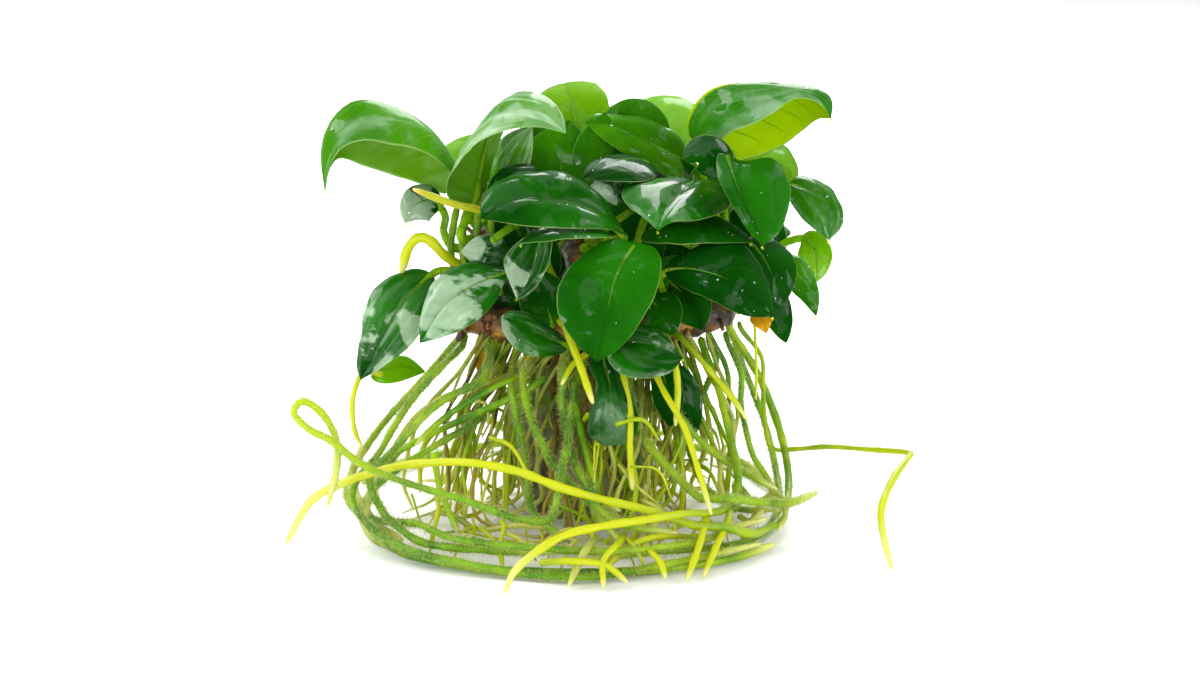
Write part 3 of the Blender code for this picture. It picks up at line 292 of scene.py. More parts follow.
# Roots and shoots that a solid of their own is too small for
SIDE_ROOTS = (
    Cord("side_root_centre", "green", 0.9,
         ((-2.5, -16, 37), (-2.5, -18, 33), (-0.5, -24, 24.5), (2, -30, 17.5), (4, -36, 13),
          (8.5, -38, 11))),
    Cord("side_root_far_left", "yellow", 0.65,
         ((-50, -12, 38), (-54.5, -14, 39), (-57, -16, 32.5), (-56.5, -18, 25.5), (-54.5, -20, 21.5))),
    Cord("side_root_left_fork", "green", 0.8,
         ((-14, -12, 38), (-21, -16, 36.5), (-28, -20, 33.5), (-35, -24, 29.5), (-41, -26, 24))),
    Cord("side_root_ring_tip", "yellow", 0.8,
         ((29, -43, 6), (25.5, -43, 6), (18, -47, 7.5), (11, -51, 6.5), (6, -55, 3.5), (4.5, -58, 1))),
    Cord("side_root_front_tip", "yellow", 0.85,
         ((-10, -59, 5), (-3, -61, 6), (4, -61.5, 5.5), (7, -62, 4), (10, -63, 1.5))),
    Cord("side_root_right_thread", "yellow", 0.4,
         ((41.5, -8, 53), (42, -8, 48.5), (42.5, -8, 38), (42.5, -8, 30.5))),
    Cord("side_root_right_short", "yellow", 0.8,
         ((18, -19, 50), (21, -22, 48), (22.5, -26, 39), (22, -28, 29.5))),
    Cord("side_root_bright_short", "yellow", 0.9,
         ((-6, -14, 52), (-4.5, -20, 51.5), (-3, -24, 48.5), (-1, -28, 44.5), (2, -33, 36.5))),
    Cord("side_root_bright_fork", "yellow", 0.75,
         ((3, -13, 46), (1.5, -18, 45.5), (-2.5, -24, 44), (-5.5, -29, 40))),
    Cord("side_root_yellow_drop", "yellow", 0.8,
         ((8, -16, 42), (9, -22, 41.5), (11, -27, 33), (11, -32, 24.5), (11.5, -37, 16))),
    Cord("side_root_tip_one", "yellow", 0.85,
         ((35, -36, 10), (34, -42, 9), (31, -50, 5.5), (28, -57, 1))),
    Cord("side_root_tip_two", "yellow", 0.85,
         ((30, -38, 11), (29, -44, 10.5), (27, -52, 6.5), (24, -60, 1))),
    Cord("side_root_tip_three", "yellow", 0.8,
         ((14, -50, 6), (16, -55, 6), (18, -58, 4.5), (19, -60, 1.5))),
    Cord("side_root_tip_four", "yellow", 0.85,
         ((9, -50, 8), (7.5, -57, 8.5), (4.5, -61, 6), (4.6, -65, 1))),
    Cord("side_root_tip_five", "pale", 0.9,
         ((3, -50, 8), (1, -56, 8), (-1.5, -60, 4.5), (-3.5, -64, 1))),
    Cord("side_root_tip_six", "yellow", 0.6,
         ((-36, -30, 12), (-35, -36, 11), (-36, -40, 7), (-37, -43, 2))),
    Cord("side_root_tip_seven", "yellow", 0.6,
         ((-20, -40, 9), (-19, -44, 9), (-20, -48, 5), (-19, -53, 1))),
    Cord("side_root_ring_band", "pale", 1.1,
         ((-56, -2, 16), (-58, -12, 10.5), (-51.5, -25, 4), (-44, -34, 2.3))),
    Cord("side_root_left_cross_one", "green", 0.9,
         ((-10, -12, 37), (-16, -14, 33.5), (-33, -15, 26), (-46, -15, 19), (-52, -14, 12))),
    Cord("side_root_left_cross_two", "olive", 0.8,
         ((-13, -6, 42), (-18, -8, 37), (-36, -8, 30.5), (-45.5, -8, 21.5), (-50, -8, 9))),
    Cord("side_root_pale_curl", "pale", 0.8,
         ((38, -20, 4), (41, -22, 3.5), (44, -24, 9.5), (47, -26, 11.5), (49, -28, 7.5), (47, -30, 3.5))),
    Cord("side_root_left_link", "green", 0.8,
         ((-36, -34, 24), (-35.5, -36, 20.5), (-34.5, -38, 16), (-32, -40, 10.5), (-30.5, -42, 7))),
    Cord("side_root_ring_inner", "pale", 0.9,
         ((-47, -6, 16), (-50, -10, 13), (-53, -14, 9), (-55, -20, 4.5), (-52, -28, 1.2), (-46, -36, 1.2))),
    Cord("side_root_ring_lower", "green", 1,
         ((-52, -28, 3), (-44, -42, 2), (-30, -50, 1.4), (-14, -54.5, 1.4), (2, -55, 1.2), (18, -53, 1.4),
          (34, -46, 1.4), (46, -36, 2))),
)

SHOOTS = (
    Cord("aerial_shoot", "shoot", 0.85,
         ((-24, -8, 78), (-26, -12, 79.5), (-31, -14, 81), (-36, -13, 82.5), (-41.5, -12, 84.5))),
    Cord("curled_shoot", "yellow", 1.3,
         ((-30, -4, 63), (-34.5, -7, 67), (-38, -8, 71), (-41, -8, 71.5), (-43.5, -8, 68.5),
          (-45, -8, 63))),
    Cord("bare_stalk_one", "stalk", 1,
         ((-27, -5, 56), (-29.5, -5, 64), (-30, -4, 73), (-28, 0, 80))),
    Cord("bare_stalk_two", "stalk", 1,
         ((-24, -6, 57), (-26, -7, 66), (-26.5, -6, 75), (-25, 0, 81))),
    Cord("bare_stalk_three", "stalk", 0.9,
         ((-21, -6, 57), (-22, -7, 66), (-23, -6, 74), (-22, 0, 81))),
    Cord("bare_stalk_four", "stalk", 0.9,
         ((-31, -2, 57), (-33, -3, 66), (-32.5, -2, 73), (-31, 2, 80))),
)

GREEN_ROOTS = ("root_front_left", "root_front_left_outer", "root_front_middle", "root_looped",
               "root_ring_front", "root_left", "root_left_inner", "root_ring_left",
               "root_right_inner", "root_right_outer", "root_front_hairy", "root_right_diagonal",
               "root_ring_right", "root_rear_right", "root_rear_left")
YELLOW_ROOTS = ("root_long_yellow", "root_yellow_front", "root_right_reaching",
                "root_front_right_short", "root_front_bright")
STEMS = ("rhizome", "rhizome_branch_left", "rhizome_branch_middle", "rhizome_branch_right")

# Shares of a root's length between which its old green skin gives way to the young yellow
USUAL_YOUTH = (0.86, 0.97)
YELLOW_CORD_YOUTH = (-0.3, 0.45)
YOUTH = {"root_looped": (0.55, 0.75), "root_long_yellow": (0.42, 0.62), "root_yellow_front": (0.4, 0.7),
         "root_right_reaching": (0.3, 0.85), "root_front_right_short": (0.3, 0.95),
         "root_front_bright": (0, 0.15)}

BUNDLES = 14
BUNDLE_STRANDS = 6
STONE_STRANDS = 40
RING_STRANDS = 9
SHORT_STRANDS = 60
TIP_STRANDS = 30
STUB_COUNT = 130
DROPS_ON_LEAF = 4
THIN_ROOT_SEED = 11
DROP_SEED = 5
STUB_SEED = 3

# Colours of the leaves: the deepest, the underside, and the light that comes through and its share.
# The fresh colour of each tone is a setting.
LEAF_COLOURS = {
    "dark": ((0.0006, 0.046, 0.0002), (0.006, 0.09, 0.001), (0.07, 0.36, 0.001), 0.16),
    "mid": ((0.014, 0.125, 0.0004), (0.045, 0.18, 0.001), (0.40, 0.88, 0.002), 0.14),
    "bright": ((0.07, 0.20, 0.0004), (0.12, 0.34, 0.001), (0.50, 0.90, 0.004), 0.38),
    # The pale tone is painted backlight: leaves lit from behind get a paler colour, besides the larger
    # share of light that really comes through them
    "pale": ((0.12, 0.30, 0.02), (0.19, 0.42, 0.04), (0.55, 0.90, 0.12), 0.40),
    "dying": ((0.62, 0.33, 0.01), (0.62, 0.33, 0.01), (0.85, 0.5, 0.02), 0.3),
}

# A painted glow for an underside lit from behind and the share of real light that comes through it, the
# painted reflection of the lights and painted sheen of wet leaves, the thin rim at a margin, and the stalks
PAINTED_GLOW = (0.42, 0.58, 0.001)
GLOWING_SHARE = 0.22
PAINTED_REFLECTION = (0.46, 0.62, 0.42)
PAINTED_SHEEN = (0.20, 0.38, 0.12)
RIM = (0.36, 0.52, 0.16)
STALK_LOW = (0.07, 0.22, 0.002)
STALK_HIGH = (0.24, 0.46, 0.004)

# Colours of the roots: old skin, dark and light, then the young skin and the fine film on the old
ROOT_COLOURS = {
    "green": ((0.04, 0.20, 0.0002), (0.22, 0.48, 0.0005), (0.58, 0.70, 0.0005), (0.56, 0.64, 0.16)),
    "yellow": ((0.10, 0.28, 0.0004), (0.34, 0.50, 0.001), (0.66, 0.68, 0.0005), (0.60, 0.66, 0.10)),
    "pale": ((0.26, 0.36, 0.02), (0.50, 0.54, 0.12), (0.70, 0.70, 0.10), (0.72, 0.74, 0.46)),
    "shoot": ((0.40, 0.52, 0.002), (0.54, 0.56, 0.003), (0.80, 0.38, 0.01), (0.60, 0.60, 0.10)),
    "stalk": ((0.10, 0.26, 0.001), (0.24, 0.42, 0.003), (0.30, 0.48, 0.003), (0.24, 0.42, 0.01)),
    "olive": ((0.10, 0.15, 0.003), (0.34, 0.38, 0.03), (0.62, 0.62, 0.03), (0.52, 0.52, 0.24)),
    "brown": ((0.06, 0.035, 0.004), (0.27, 0.15, 0.012), (0.52, 0.44, 0.04), (0.44, 0.36, 0.16)),
}
ROOT_GLOW_SHARE = 0.30
HAIR_LOW = (0.42, 0.50, 0.08)
HAIR_HIGH = (0.74, 0.74, 0.34)
HAIR_GLOW = (0.7, 0.74, 0.3)
HAIR_GLOW_SHARE = 0.5

BARK_DARK = (0.030, 0.016, 0.004)
BARK_ORANGE = (0.46, 0.24, 0.02)
BARK_GREEN = (0.09, 0.15, 0.01)
BARK_SCAR = (0.03, 0.015, 0.008)
STONE_DARK = (0.08, 0.085, 0.025)
STONE_ALGAE = (0.16, 0.26, 0.02)
STONE_FLECK = (0.36, 0.27, 0.23)
CLEAR_WATER = (0.95, 0.98, 1.0)
YELLOW_WATER = (0.9, 0.95, 0.05)


# Shader expressions

class Signal:
    """One output in a tree of nodes, with the usual arithmetic on it."""

    def __init__(self, nodes, socket):
        self.nodes = nodes
        self.socket = socket

    def maths(self, operation, *values):
        return self.nodes.node("ShaderNodeMath", {"operation": operation}, dict(enumerate(values)))

    def __add__(self, other):
        return self.maths("ADD", self, other)

    __radd__ = __add__

    def __sub__(self, other):
        return self.maths("SUBTRACT", self, other)

    def __rsub__(self, other):
        return self.maths("SUBTRACT", other, self)

    def __mul__(self, other):
        return self.maths("MULTIPLY", self, other)

    __rmul__ = __mul__

    def __pow__(self, other):
        return self.maths("POWER", self, other)

    def __abs__(self):
        return self.maths("ABSOLUTE", self)

    def zigzag(self):
        """A straight-sided wave: 1 at each whole number and 0 halfway between."""
        return abs(self.maths("FRACT", self) - 0.5) * 2

    def beside(self, output):
        """Another output of the same node."""
        return Signal(self.nodes, self.socket.node.outputs[output])


class Nodes:
    """Makes the nodes of one tree."""

    def __init__(self, tree):
        self.tree = tree

    def node(self, kind, settings, inputs, output=0):
        """A node of a kind: its settings first, then the values or links of its sockets."""
        made = self.tree.nodes.new(kind)
        for key, value in settings.items():
            setattr(made, key, value)
        for key, value in inputs.items():
            if isinstance(value, Signal):
                self.tree.links.new(value.socket, made.inputs[key])
            else:
                made.inputs[key].default_value = (*value, 1) if made.inputs[key].type == "RGBA" else value
        return Signal(self, made.outputs[output])


class Paint(Nodes):
    """A material and the few ways in which its nodes are made."""

    def __init__(self, name):
        self.material = bpy.data.materials.new(name)
        self.material.use_nodes = True
        super().__init__(self.material.node_tree)
        self.tree.nodes.clear()

    def attribute(self, name):
        return self.node("ShaderNodeAttribute", {"attribute_name": name}, {}, "Fac")

    def noise(self, scale, detail=2.0, warp=0.0, place=None):
        """Noise over the object's own coordinates, scale in waves a metre, or over another place."""
        place = place or self.node("ShaderNodeTexCoord", {}, {}, "Object")
        return self.node("ShaderNodeTexNoise", {}, {
            "Vector": place, "Scale": scale, "Detail": detail, "Distortion": warp}, "Fac")

    def brushed(self, along, across):
        """Noise drawn out lengthways on a leaf."""
        place = self.node("ShaderNodeCombineXYZ", {}, {
            0: along * 1.8, 1: across * 4.5, 2: self.noise(14) * 5})
        return self.noise(1.0, 4.0, 0.5, place)

    def smooth(self, value, low, high):
        """0 where value is below low and 1 above high, with a soft step between."""
        return self.node("ShaderNodeMapRange", {"interpolation_type": "SMOOTHSTEP"}, {
            "Value": value, "From Min": low, "From Max": high})

    def patches(self, scale, detail, low, high, warp=0.0):
        """Noise cut to patches with soft edges."""
        return self.smooth(self.noise(scale, detail, warp), low, high)

    def blend(self, share, first, second):
        """A colour from first to second by share."""
        return self.node("ShaderNodeMix", {"data_type": "RGBA"}, {0: share, 6: first, 7: second}, 2)

    def bump(self, height, distance, strength):
        return self.node("ShaderNodeBump", {}, {
            "Height": height, "Distance": distance, "Strength": strength})

    def finish(self, inputs, glow=None, share=0.0):
        """The material of a surface, with a share of the light coming through in the glow's colour."""
        shader = self.node("ShaderNodeBsdfPrincipled", {}, inputs)
        if glow:
            through = self.node("ShaderNodeBsdfTranslucent", {}, {"Color": glow})
            shader = self.node("ShaderNodeMixShader", {}, {0: share, 1: shader, 2: through})
        end = self.tree.nodes.new("ShaderNodeOutputMaterial")
        self.tree.links.new(shader.socket, end.inputs["Surface"])
        return self.material


def leaf_material(tone, look):
    """A wet leaf: veins, a pale rim, films of water with sharp edges, a painted reflection of the lights on
    the wettest tops, and a duller underside with a painted sheen and, where lit from behind, a painted
    glow.
    """
    deep, below, through, glow_share = LEAF_COLOURS[tone]
    # How much of the painted reflection on each tone is combed into streaks along the leaf, and how much
    # its veins break them
    banding = 0.5 if tone == "mid" else 0.1
    combed = 0.6 if tone == "mid" else 0.15
    paint = Paint("leaf_" + tone)
    along, across, topside, stalk, wetness, freshness, through_and_painted_glow = (
        paint.attribute(name) for name in Skin.MARKS)
    reach = abs(across)
    through_and_painted_glow = through_and_painted_glow * (1 - topside)

    slant = along - 0.34 * reach ** 1.25 + 0.012 * paint.noise(90)
    line = (slant * look.vein_count).zigzag()
    fine = (slant * look.vein_count * 4).zigzag()
    vein = paint.smooth(line, 0.88, 1.0) * (1 - paint.smooth(reach, 0.75, 0.97))
    fine_vein = paint.smooth(fine, 0.8, 1.0) * (1 - paint.smooth(reach, 0.7, 0.95))
    midrib = 1 - paint.smooth(reach, 0.004, 0.02)
    rim = paint.smooth(reach, 0.97, 0.995)
    edges = paint.noise(62, 5, 1.6)
    streaks = paint.noise(200, 4, 0.8)
    soaked = paint.smooth(wetness, 0.5, 0.8)
    # Masks of the painted reflection: wet tops are painted pale in blotches and combed streaks where they
    # would mirror the lights
    reflection_blotch = paint.smooth(edges + 0.12 * streaks + 0.22 * wetness + 0.2 * along, 0.86, 0.92)
    reflection_combing = paint.smooth(paint.brushed(along, across), 0.46, 0.64) * (1 - banding * line)
    painted_reflection = soaked * ((0.8 - combed) * reflection_blotch * (0.5 + streaks) + combed * reflection_combing)

    patch = paint.smooth(paint.noise(45, 3, 0.5) + 0.5 * freshness, 0.45, 0.95)
    colour = paint.blend(patch, deep, getattr(look, tone))
    colour = paint.blend(vein * 0.08 + fine_vein * 0.03 + midrib * 0.10, colour, through)
    # Painted reflection: the lights' pale reflection on wet tops, painted into the base colour
    colour = paint.blend(painted_reflection * look.painted_reflection, colour, PAINTED_REFLECTION)
    # Painted sheen: pale patches painted into the underside's colour
    below = paint.blend(paint.smooth(edges, 0.35, 0.7) * 0.45, below, PAINTED_SHEEN)
    # Painted glow: an underside lit from behind is painted brighter
    below = paint.blend(through_and_painted_glow, below, PAINTED_GLOW)
    under = paint.blend(vein * 0.20 + fine_vein * 0.1 + midrib * 0.3, below, through)
    colour = paint.blend(topside, under, colour)
    colour = paint.blend(rim * 0.55, colour, RIM)
    stem = paint.blend(paint.patches(120, 3, 0.3, 0.7), STALK_LOW, STALK_HIGH)
    colour = paint.blend(stalk, colour, stem)

    film = paint.smooth(edges + 0.28 * wetness, 0.64, 0.655) * topside
    raised = topside * (0.25 * fine_vein * (1 - film) - 0.4 * vein - 0.6 * midrib) * (1 - 0.8 * soaked)
    height = raised + (1 - topside) * vein + 0.5 * paint.noise(110, 4) + 0.12 * streaks
    return paint.finish({
        "Base Color": colour, "Roughness": 0.30 + 0.25 * streaks,
        "Normal": paint.bump(height, 0.0006, look.relief),
        "Specular IOR Level": look.dry_gloss, "Coat Weight": film * look.film + 0.15 * stalk,
        "Coat Roughness": 0.10}, through, glow_share + GLOWING_SHARE * through_and_painted_glow)


def root_material(tone, look):
    """A root's skin: mottled and filmed over where it is old, smooth and yellow where it is young."""
    low, high, young, film = ROOT_COLOURS[tone]
    paint = Paint("root_" + tone)
    youth = paint.attribute("stalk")
    patched = 0.45 if tone in ("green", "olive") else 0.0
    fresh_patch = paint.patches(45, 3, 0.45, 0.62) * patched
    old = paint.blend(paint.patches(110, 4, 0.38, 0.62, 0.4), low, high)
    old = paint.blend(fresh_patch, old, young)
    old = paint.blend(paint.patches(700, 3, 0.54, 0.74) * 0.3, old, film)
    fresh = paint.blend(paint.noise(90, 3) * 0.5, young, high)
    fresh = paint.blend(paint.smooth(paint.attribute("along"), 0.86, 1.0) * look.pale_tip, fresh, look.tip)
    return paint.finish({
        "Base Color": paint.blend(youth, old, fresh), "Roughness": 0.30 + 0.25 * paint.noise(300),
        "Normal": paint.bump(paint.noise(800, 3) * (1.2 - youth), 0.0005, 0.9),
        "Specular IOR Level": 0.3, "Coat Weight": 0.25, "Coat Roughness": 0.12}, young, ROOT_GLOW_SHARE)


def hair_material():
    """Fine root hairs, pale and half see-through when wet."""
    paint = Paint("root_hairs")
    colour = paint.blend(paint.noise(200), HAIR_LOW, HAIR_HIGH)
    return paint.finish({"Base Color": colour, "Roughness": 0.5}, HAIR_GLOW, HAIR_GLOW_SHARE)


def bark_material(look):
    """The creeping stem: brown and orange skin, ringed by the scars of old leaves."""
    paint = Paint("rhizome_bark")
    ring = (paint.attribute("along") * look.scar_count + 0.4 * paint.noise(60)).zigzag()
    scar = paint.smooth(ring, 0.72, 0.95)
    colour = paint.blend(paint.patches(130, 4, 0.38, 0.66), BARK_DARK, look.bark)
    colour = paint.blend(paint.patches(150, 4, 0.56, 0.66), colour, BARK_ORANGE)
    colour = paint.blend(paint.patches(90, 3, 0.55, 0.68), colour, BARK_GREEN)
    return paint.finish({
        "Base Color": paint.blend(scar * 0.6, colour, BARK_SCAR),
        "Roughness": 0.38 + 0.3 * paint.noise(200),
        "Normal": paint.bump(paint.noise(380, 4) - 0.8 * scar, 0.0009, 0.9),
        "Coat Weight": 0.3, "Coat Roughness": 0.15})


def stone_material(look):
    """Dark, mottled, water-worn stone with olive algae and pinkish-grey flecks."""
    paint = Paint("stone")
    colour = paint.blend(paint.patches(110, 5, 0.35, 0.65), STONE_DARK, look.stone)
    colour = paint.blend(paint.patches(60, 4, 0.46, 0.62, 0.5), colour, STONE_ALGAE)
    colour = paint.blend(paint.patches(420, 3, 0.64, 0.70), colour, STONE_FLECK)
    return paint.finish({
        "Base Color": colour, "Roughness": 0.35 + 0.4 * paint.noise(150, 3),
        "Normal": paint.bump(paint.noise(240, 6) + 0.4 * paint.noise(900, 3), 0.0016, 0.8),
        "Coat Weight": 0.25, "Coat Roughness": 0.2})


def water_material(name, colour):
    return Paint(name).finish({
        "Base Color": colour, "Roughness": 0.02, "IOR": 1.33, "Transmission Weight": 0.9})


# Lines and meshes

def point_on(controls, t):
    """A cubic curve's point at t, from its two ends and two handles."""
    p0, p1, p2, p3 = controls
    u = 1 - t
    return p0 * u**3 + p1 * 3 * u * u * t + p2 * 3 * u * t * t + p3 * t**3


def smooth_path(points, spacing):
    """Points along a smooth curve through the given ones, at most spacing apart."""
    pts = [2 * points[0] - points[1], *points, 2 * points[-1] - points[-2]]
    path = [points[0]]
    for a, b, c, d in zip(pts, pts[1:], pts[2:], pts[3:]):
        steps = max(1, math.ceil((c - b).length / spacing))
        for k in range(1, steps + 1):
            t = k / steps
            path.append(0.5 * (2 * b + (c - a) * t + (2 * a - 5 * b + 4 * c - d) * t * t
                               + (3 * b - a - 3 * c + d) * t**3))
    return path


def evenly(points, count):
    """count + 1 points at even distances along a smooth curve through the given ones."""
    path = smooth_path([Vector(p) for p in points], 1.0)
    lengths = np.cumsum([0.0] + [(b - a).length for a, b in zip(path, path[1:])])
    wanted = np.linspace(0, lengths[-1], count + 1)
    return [Vector(p) for p in np.transpose([np.interp(wanted, lengths, axis) for axis in zip(*path)])]


def corners_of(node):
    """A CAD node's corners in millimetres, each once, and the neighbours of each."""
    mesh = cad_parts[node].data
    index, places, number = {}, [], []
    for vert in mesh.vertices:
        key = tuple(round(c * 1e7) for c in vert.co)
        if key not in index:
            index[key] = len(places)
            places.append(vert.co / MM)
        number.append(index[key])
    near = [set() for _ in places]
    for edge in mesh.edges:
        a, b = (number[k] for k in edge.vertices)
        near[a].add(b)
        near[b].add(a)
    return places, near


def rings_from(places, near, seed):
    """The centre and radius of each ring of a lofted solid, counted from its end at seed."""
    rings, seen, layer = [], set(seed), set(seed)
    while layer:
        centre = sum((places[k] for k in layer), Vector()) / len(layer)
        rings.append((centre, sum((places[k] - centre).length for k in layer) / len(layer)))
        layer = {n for k in layer for n in near[k]} - seen
        seen |= layer
    return rings


def root_line(node):
    """A root's or stem's centre line and radius, from its solid, whose shortest edges are at one end."""
    places, near = corners_of(node)
    size, a = min((((places[a] - places[b]).length, a) for a in range(len(places)) for b in near[a]))
    seed = {k for k, p in enumerate(places) if (p - places[a]).length < size * 3.2}
    rings = rings_from(places, near, seed)[::-1]
    return [centre for centre, _ in rings], rings[1][1]


def stalk_line(leaf):
    """A leaf stalk's centre line, from the rings of its solid between its foot and the blade."""
    places, near = corners_of(leaf.name)
    tip = blade_of(leaf).points[-1]
    seed = min(range(len(places)), key=lambda k: (places[k] - tip).length)
    rings = rings_from(places, near, {seed})
    if len(rings) != LEAF_SOLID_RINGS:
        raise RuntimeError(f"{leaf.name} has {len(rings)} rings, not {LEAF_SOLID_RINGS}")
    return [centre for centre, _ in rings[:LEAF_SOLID_RINGS // 2:-1]]


def directions(points):
    """The way that a line of points runs at each of them."""
    ends = [points[0], *points, points[-1]]
    return [(b - a).normalized() for a, b in zip(ends, ends[2:])]


class Blade:
    """A leaf's blade as a surface: its midrib, the way it faces along it and its outline."""

    def __init__(self, leaf):
        self.leaf = leaf
        controls = [Vector(p) for p in (leaf.base, leaf.over1, leaf.over2, leaf.tip)]
        self.points = [point_on(controls, k / FRAME_SAMPLES) for k in range(FRAME_SAMPLES + 1)]
        self.along = directions(self.points)
        up = Vector(leaf.up)
        self.ups = []
        for k, along in enumerate(self.along):
            up = (up - along * up.dot(along)).normalized()
            turn = math.radians(leaf.twist) * k / FRAME_SAMPLES
            self.ups.append(up * math.cos(turn) + along.cross(up) * math.sin(turn))
        lengths = [0.0]
        for a, b in zip(self.points, self.points[1:]):
            lengths.append(lengths[-1] + (b - a).length)
        self.shares = [length / lengths[-1] for length in lengths]

    def frame(self, share):
        """The midrib's point, upward and rightward vectors at a share of its length."""
        k = min(max(int(np.searchsorted(self.shares, share, "right")) - 1, 0), FRAME_SAMPLES - 1)
        t = (share - self.shares[k]) / (self.shares[k + 1] - self.shares[k])
        along = self.along[k].lerp(self.along[k + 1], t).normalized()
        up = self.ups[k].lerp(self.ups[k + 1], t)
        up = (up - along * up.dot(along)).normalized()
        return self.points[k].lerp(self.points[k + 1], t), up, along.cross(up)

    def half_width(self, share):
        """The outline: broad and round at the base, drawn out to a point at the tip."""
        share = min(max(share, 0.0), 1.0)
        bow = max(math.sin(math.pi * share**self.leaf.belly), 0.0)
        return self.leaf.width / 2 * bow ** (0.55 + 0.25 * share)

    def across(self, share, reach):
        """The middle of the blade at reach across it, from -1 at the left margin to 1."""
        point, up, right = self.frame(share)
        fold = math.radians(self.leaf.fold)
        curl = math.radians(self.leaf.right if reach > 0 else self.leaf.left)
        x = abs(reach)
        width = self.half_width(share)
        side = (math.sin(fold) - math.sin(fold - curl * x)) / curl
        rise = (math.cos(fold - curl * x) - math.cos(fold)) / curl
        return point + right * math.copysign(side * width, reach) + up * rise * width


class DrawnBlade(Blade):
    """A blade between two drawn margins, on either side of its drawn midrib."""

    def __init__(self, leaf):
        self.leaf = leaf
        self.points = evenly(leaf.rib, FRAME_SAMPLES)
        self.along = directions(self.points)
        self.shares = [k / FRAME_SAMPLES for k in range(FRAME_SAMPLES + 1)]
        self.margins = {side: evenly((leaf.rib[0], *points, leaf.rib[-1]), FRAME_SAMPLES)
                        for side, points in ((-1, leaf.left), (1, leaf.right))}
        self.ups = []
        for k, along in enumerate(self.along):
            inner = min(max(k, 3), FRAME_SAMPLES - 3)
            spread = self.margins[1][inner] - self.margins[-1][inner]
            self.ups.append(spread.cross(along).normalized())

    def across(self, share, reach):
        """The middle of the blade at reach across it, from -1 at the left margin to 1."""
        point, up, _ = self.frame(share)
        margin = self.margins[1 if reach > 0 else -1]
        place = min(max(share, 0.0), 1.0) * FRAME_SAMPLES
        k = min(int(place), FRAME_SAMPLES - 1)
        edge = margin[k].lerp(margin[k + 1], place - k)
        x = abs(reach)
        bow = self.leaf.right_bow if reach > 0 else self.leaf.left_bow
        return point.lerp(edge, x) + up * bow * 4 * x * (1 - x) * math.sin(math.pi * place / FRAME_SAMPLES)


def blade_of(leaf):
    return DrawnBlade(leaf) if isinstance(leaf, Sheet) else Blade(leaf)


def add_object(name, mesh, material):
    """A smooth object in the scene."""
    mesh.shade_smooth()
    mesh.materials.append(material)
    made = bpy.data.objects.new(name, mesh)
    bpy.context.scene.collection.objects.link(made)
    return made


def mesh_of(bm, name):
    """The mesh of an editing mesh, which is freed."""
    mesh = bpy.data.meshes.new(name)
    bm.to_mesh(mesh)
    bm.free()
    return mesh


class Skin:
    """Collects the corners and faces of one piece, with a few numbers on each corner."""

    MARKS = ("along", "across", "topside", "stalk", "wetness", "freshness", "through_and_painted_glow")
    FIRST_SIDE = Vector((0.31, 0.52, 0.79))
    CAP_HEIGHT = 0.8

    def __init__(self, state=USUAL_STATE):
        self.places, self.faces, self.marks, self.state = [], [], [], state

    def corner(self, place, along, across, topside, stalk=0.0):
        self.places.append(place * MM)
        self.marks.append((along, across, topside, stalk, *self.state))
        return len(self.places) - 1

    def cord(self, path, radii, sides, stalk=None, topside=1.0):
        """A round cord along a path, rounded off at both ends, with a stalk mark for each point."""
        side = self.FIRST_SIDE
        stalk = stalk or [1.0] * len(path)
        rows = []
        last = len(path) - 1
        for k, centre in enumerate(path):
            along = (path[min(k + 1, last)] - path[max(k - 1, 0)]).normalized()
            side = (side - along * side.dot(along)).normalized()
            across = along.cross(side)
            turns = [math.tau * n / sides for n in range(sides)]
            rows.append([self.corner(centre + radii[k] * (side * math.cos(a) + across * math.sin(a)),
                                     k / last, 0.5, topside, stalk[k]) for a in turns])
        for row, after in zip(rows, rows[1:]):
            for n in range(sides):
                m = (n + 1) % sides
                self.faces.append((row[n], row[m], after[m], after[n]))
        for end, inner in ((0, 1), (-1, -2)):
            centre = path[end]
            size = (self.places[rows[end][0]] / MM - centre).length
            cap = centre + (centre - path[inner]).normalized() * size * self.CAP_HEIGHT
            pole = self.corner(cap, float(end != 0), 0.5, topside, stalk[end])
            for n in range(sides):
                pair = (rows[end][n], rows[end][(n + 1) % sides])
                self.faces.append((pole, *(pair if end else pair[::-1])))

    def made(self, name, material):
        """The piece as an object in the scene, with its marks as attributes."""
        mesh = bpy.data.meshes.new(name)
        mesh.from_pydata(self.places, [], self.faces)
        for number, key in enumerate(self.MARKS):
            layer = mesh.attributes.new(key, "FLOAT", "POINT")
            layer.data.foreach_set("value", [mark[number] for mark in self.marks])
        return add_object(name, mesh, material)


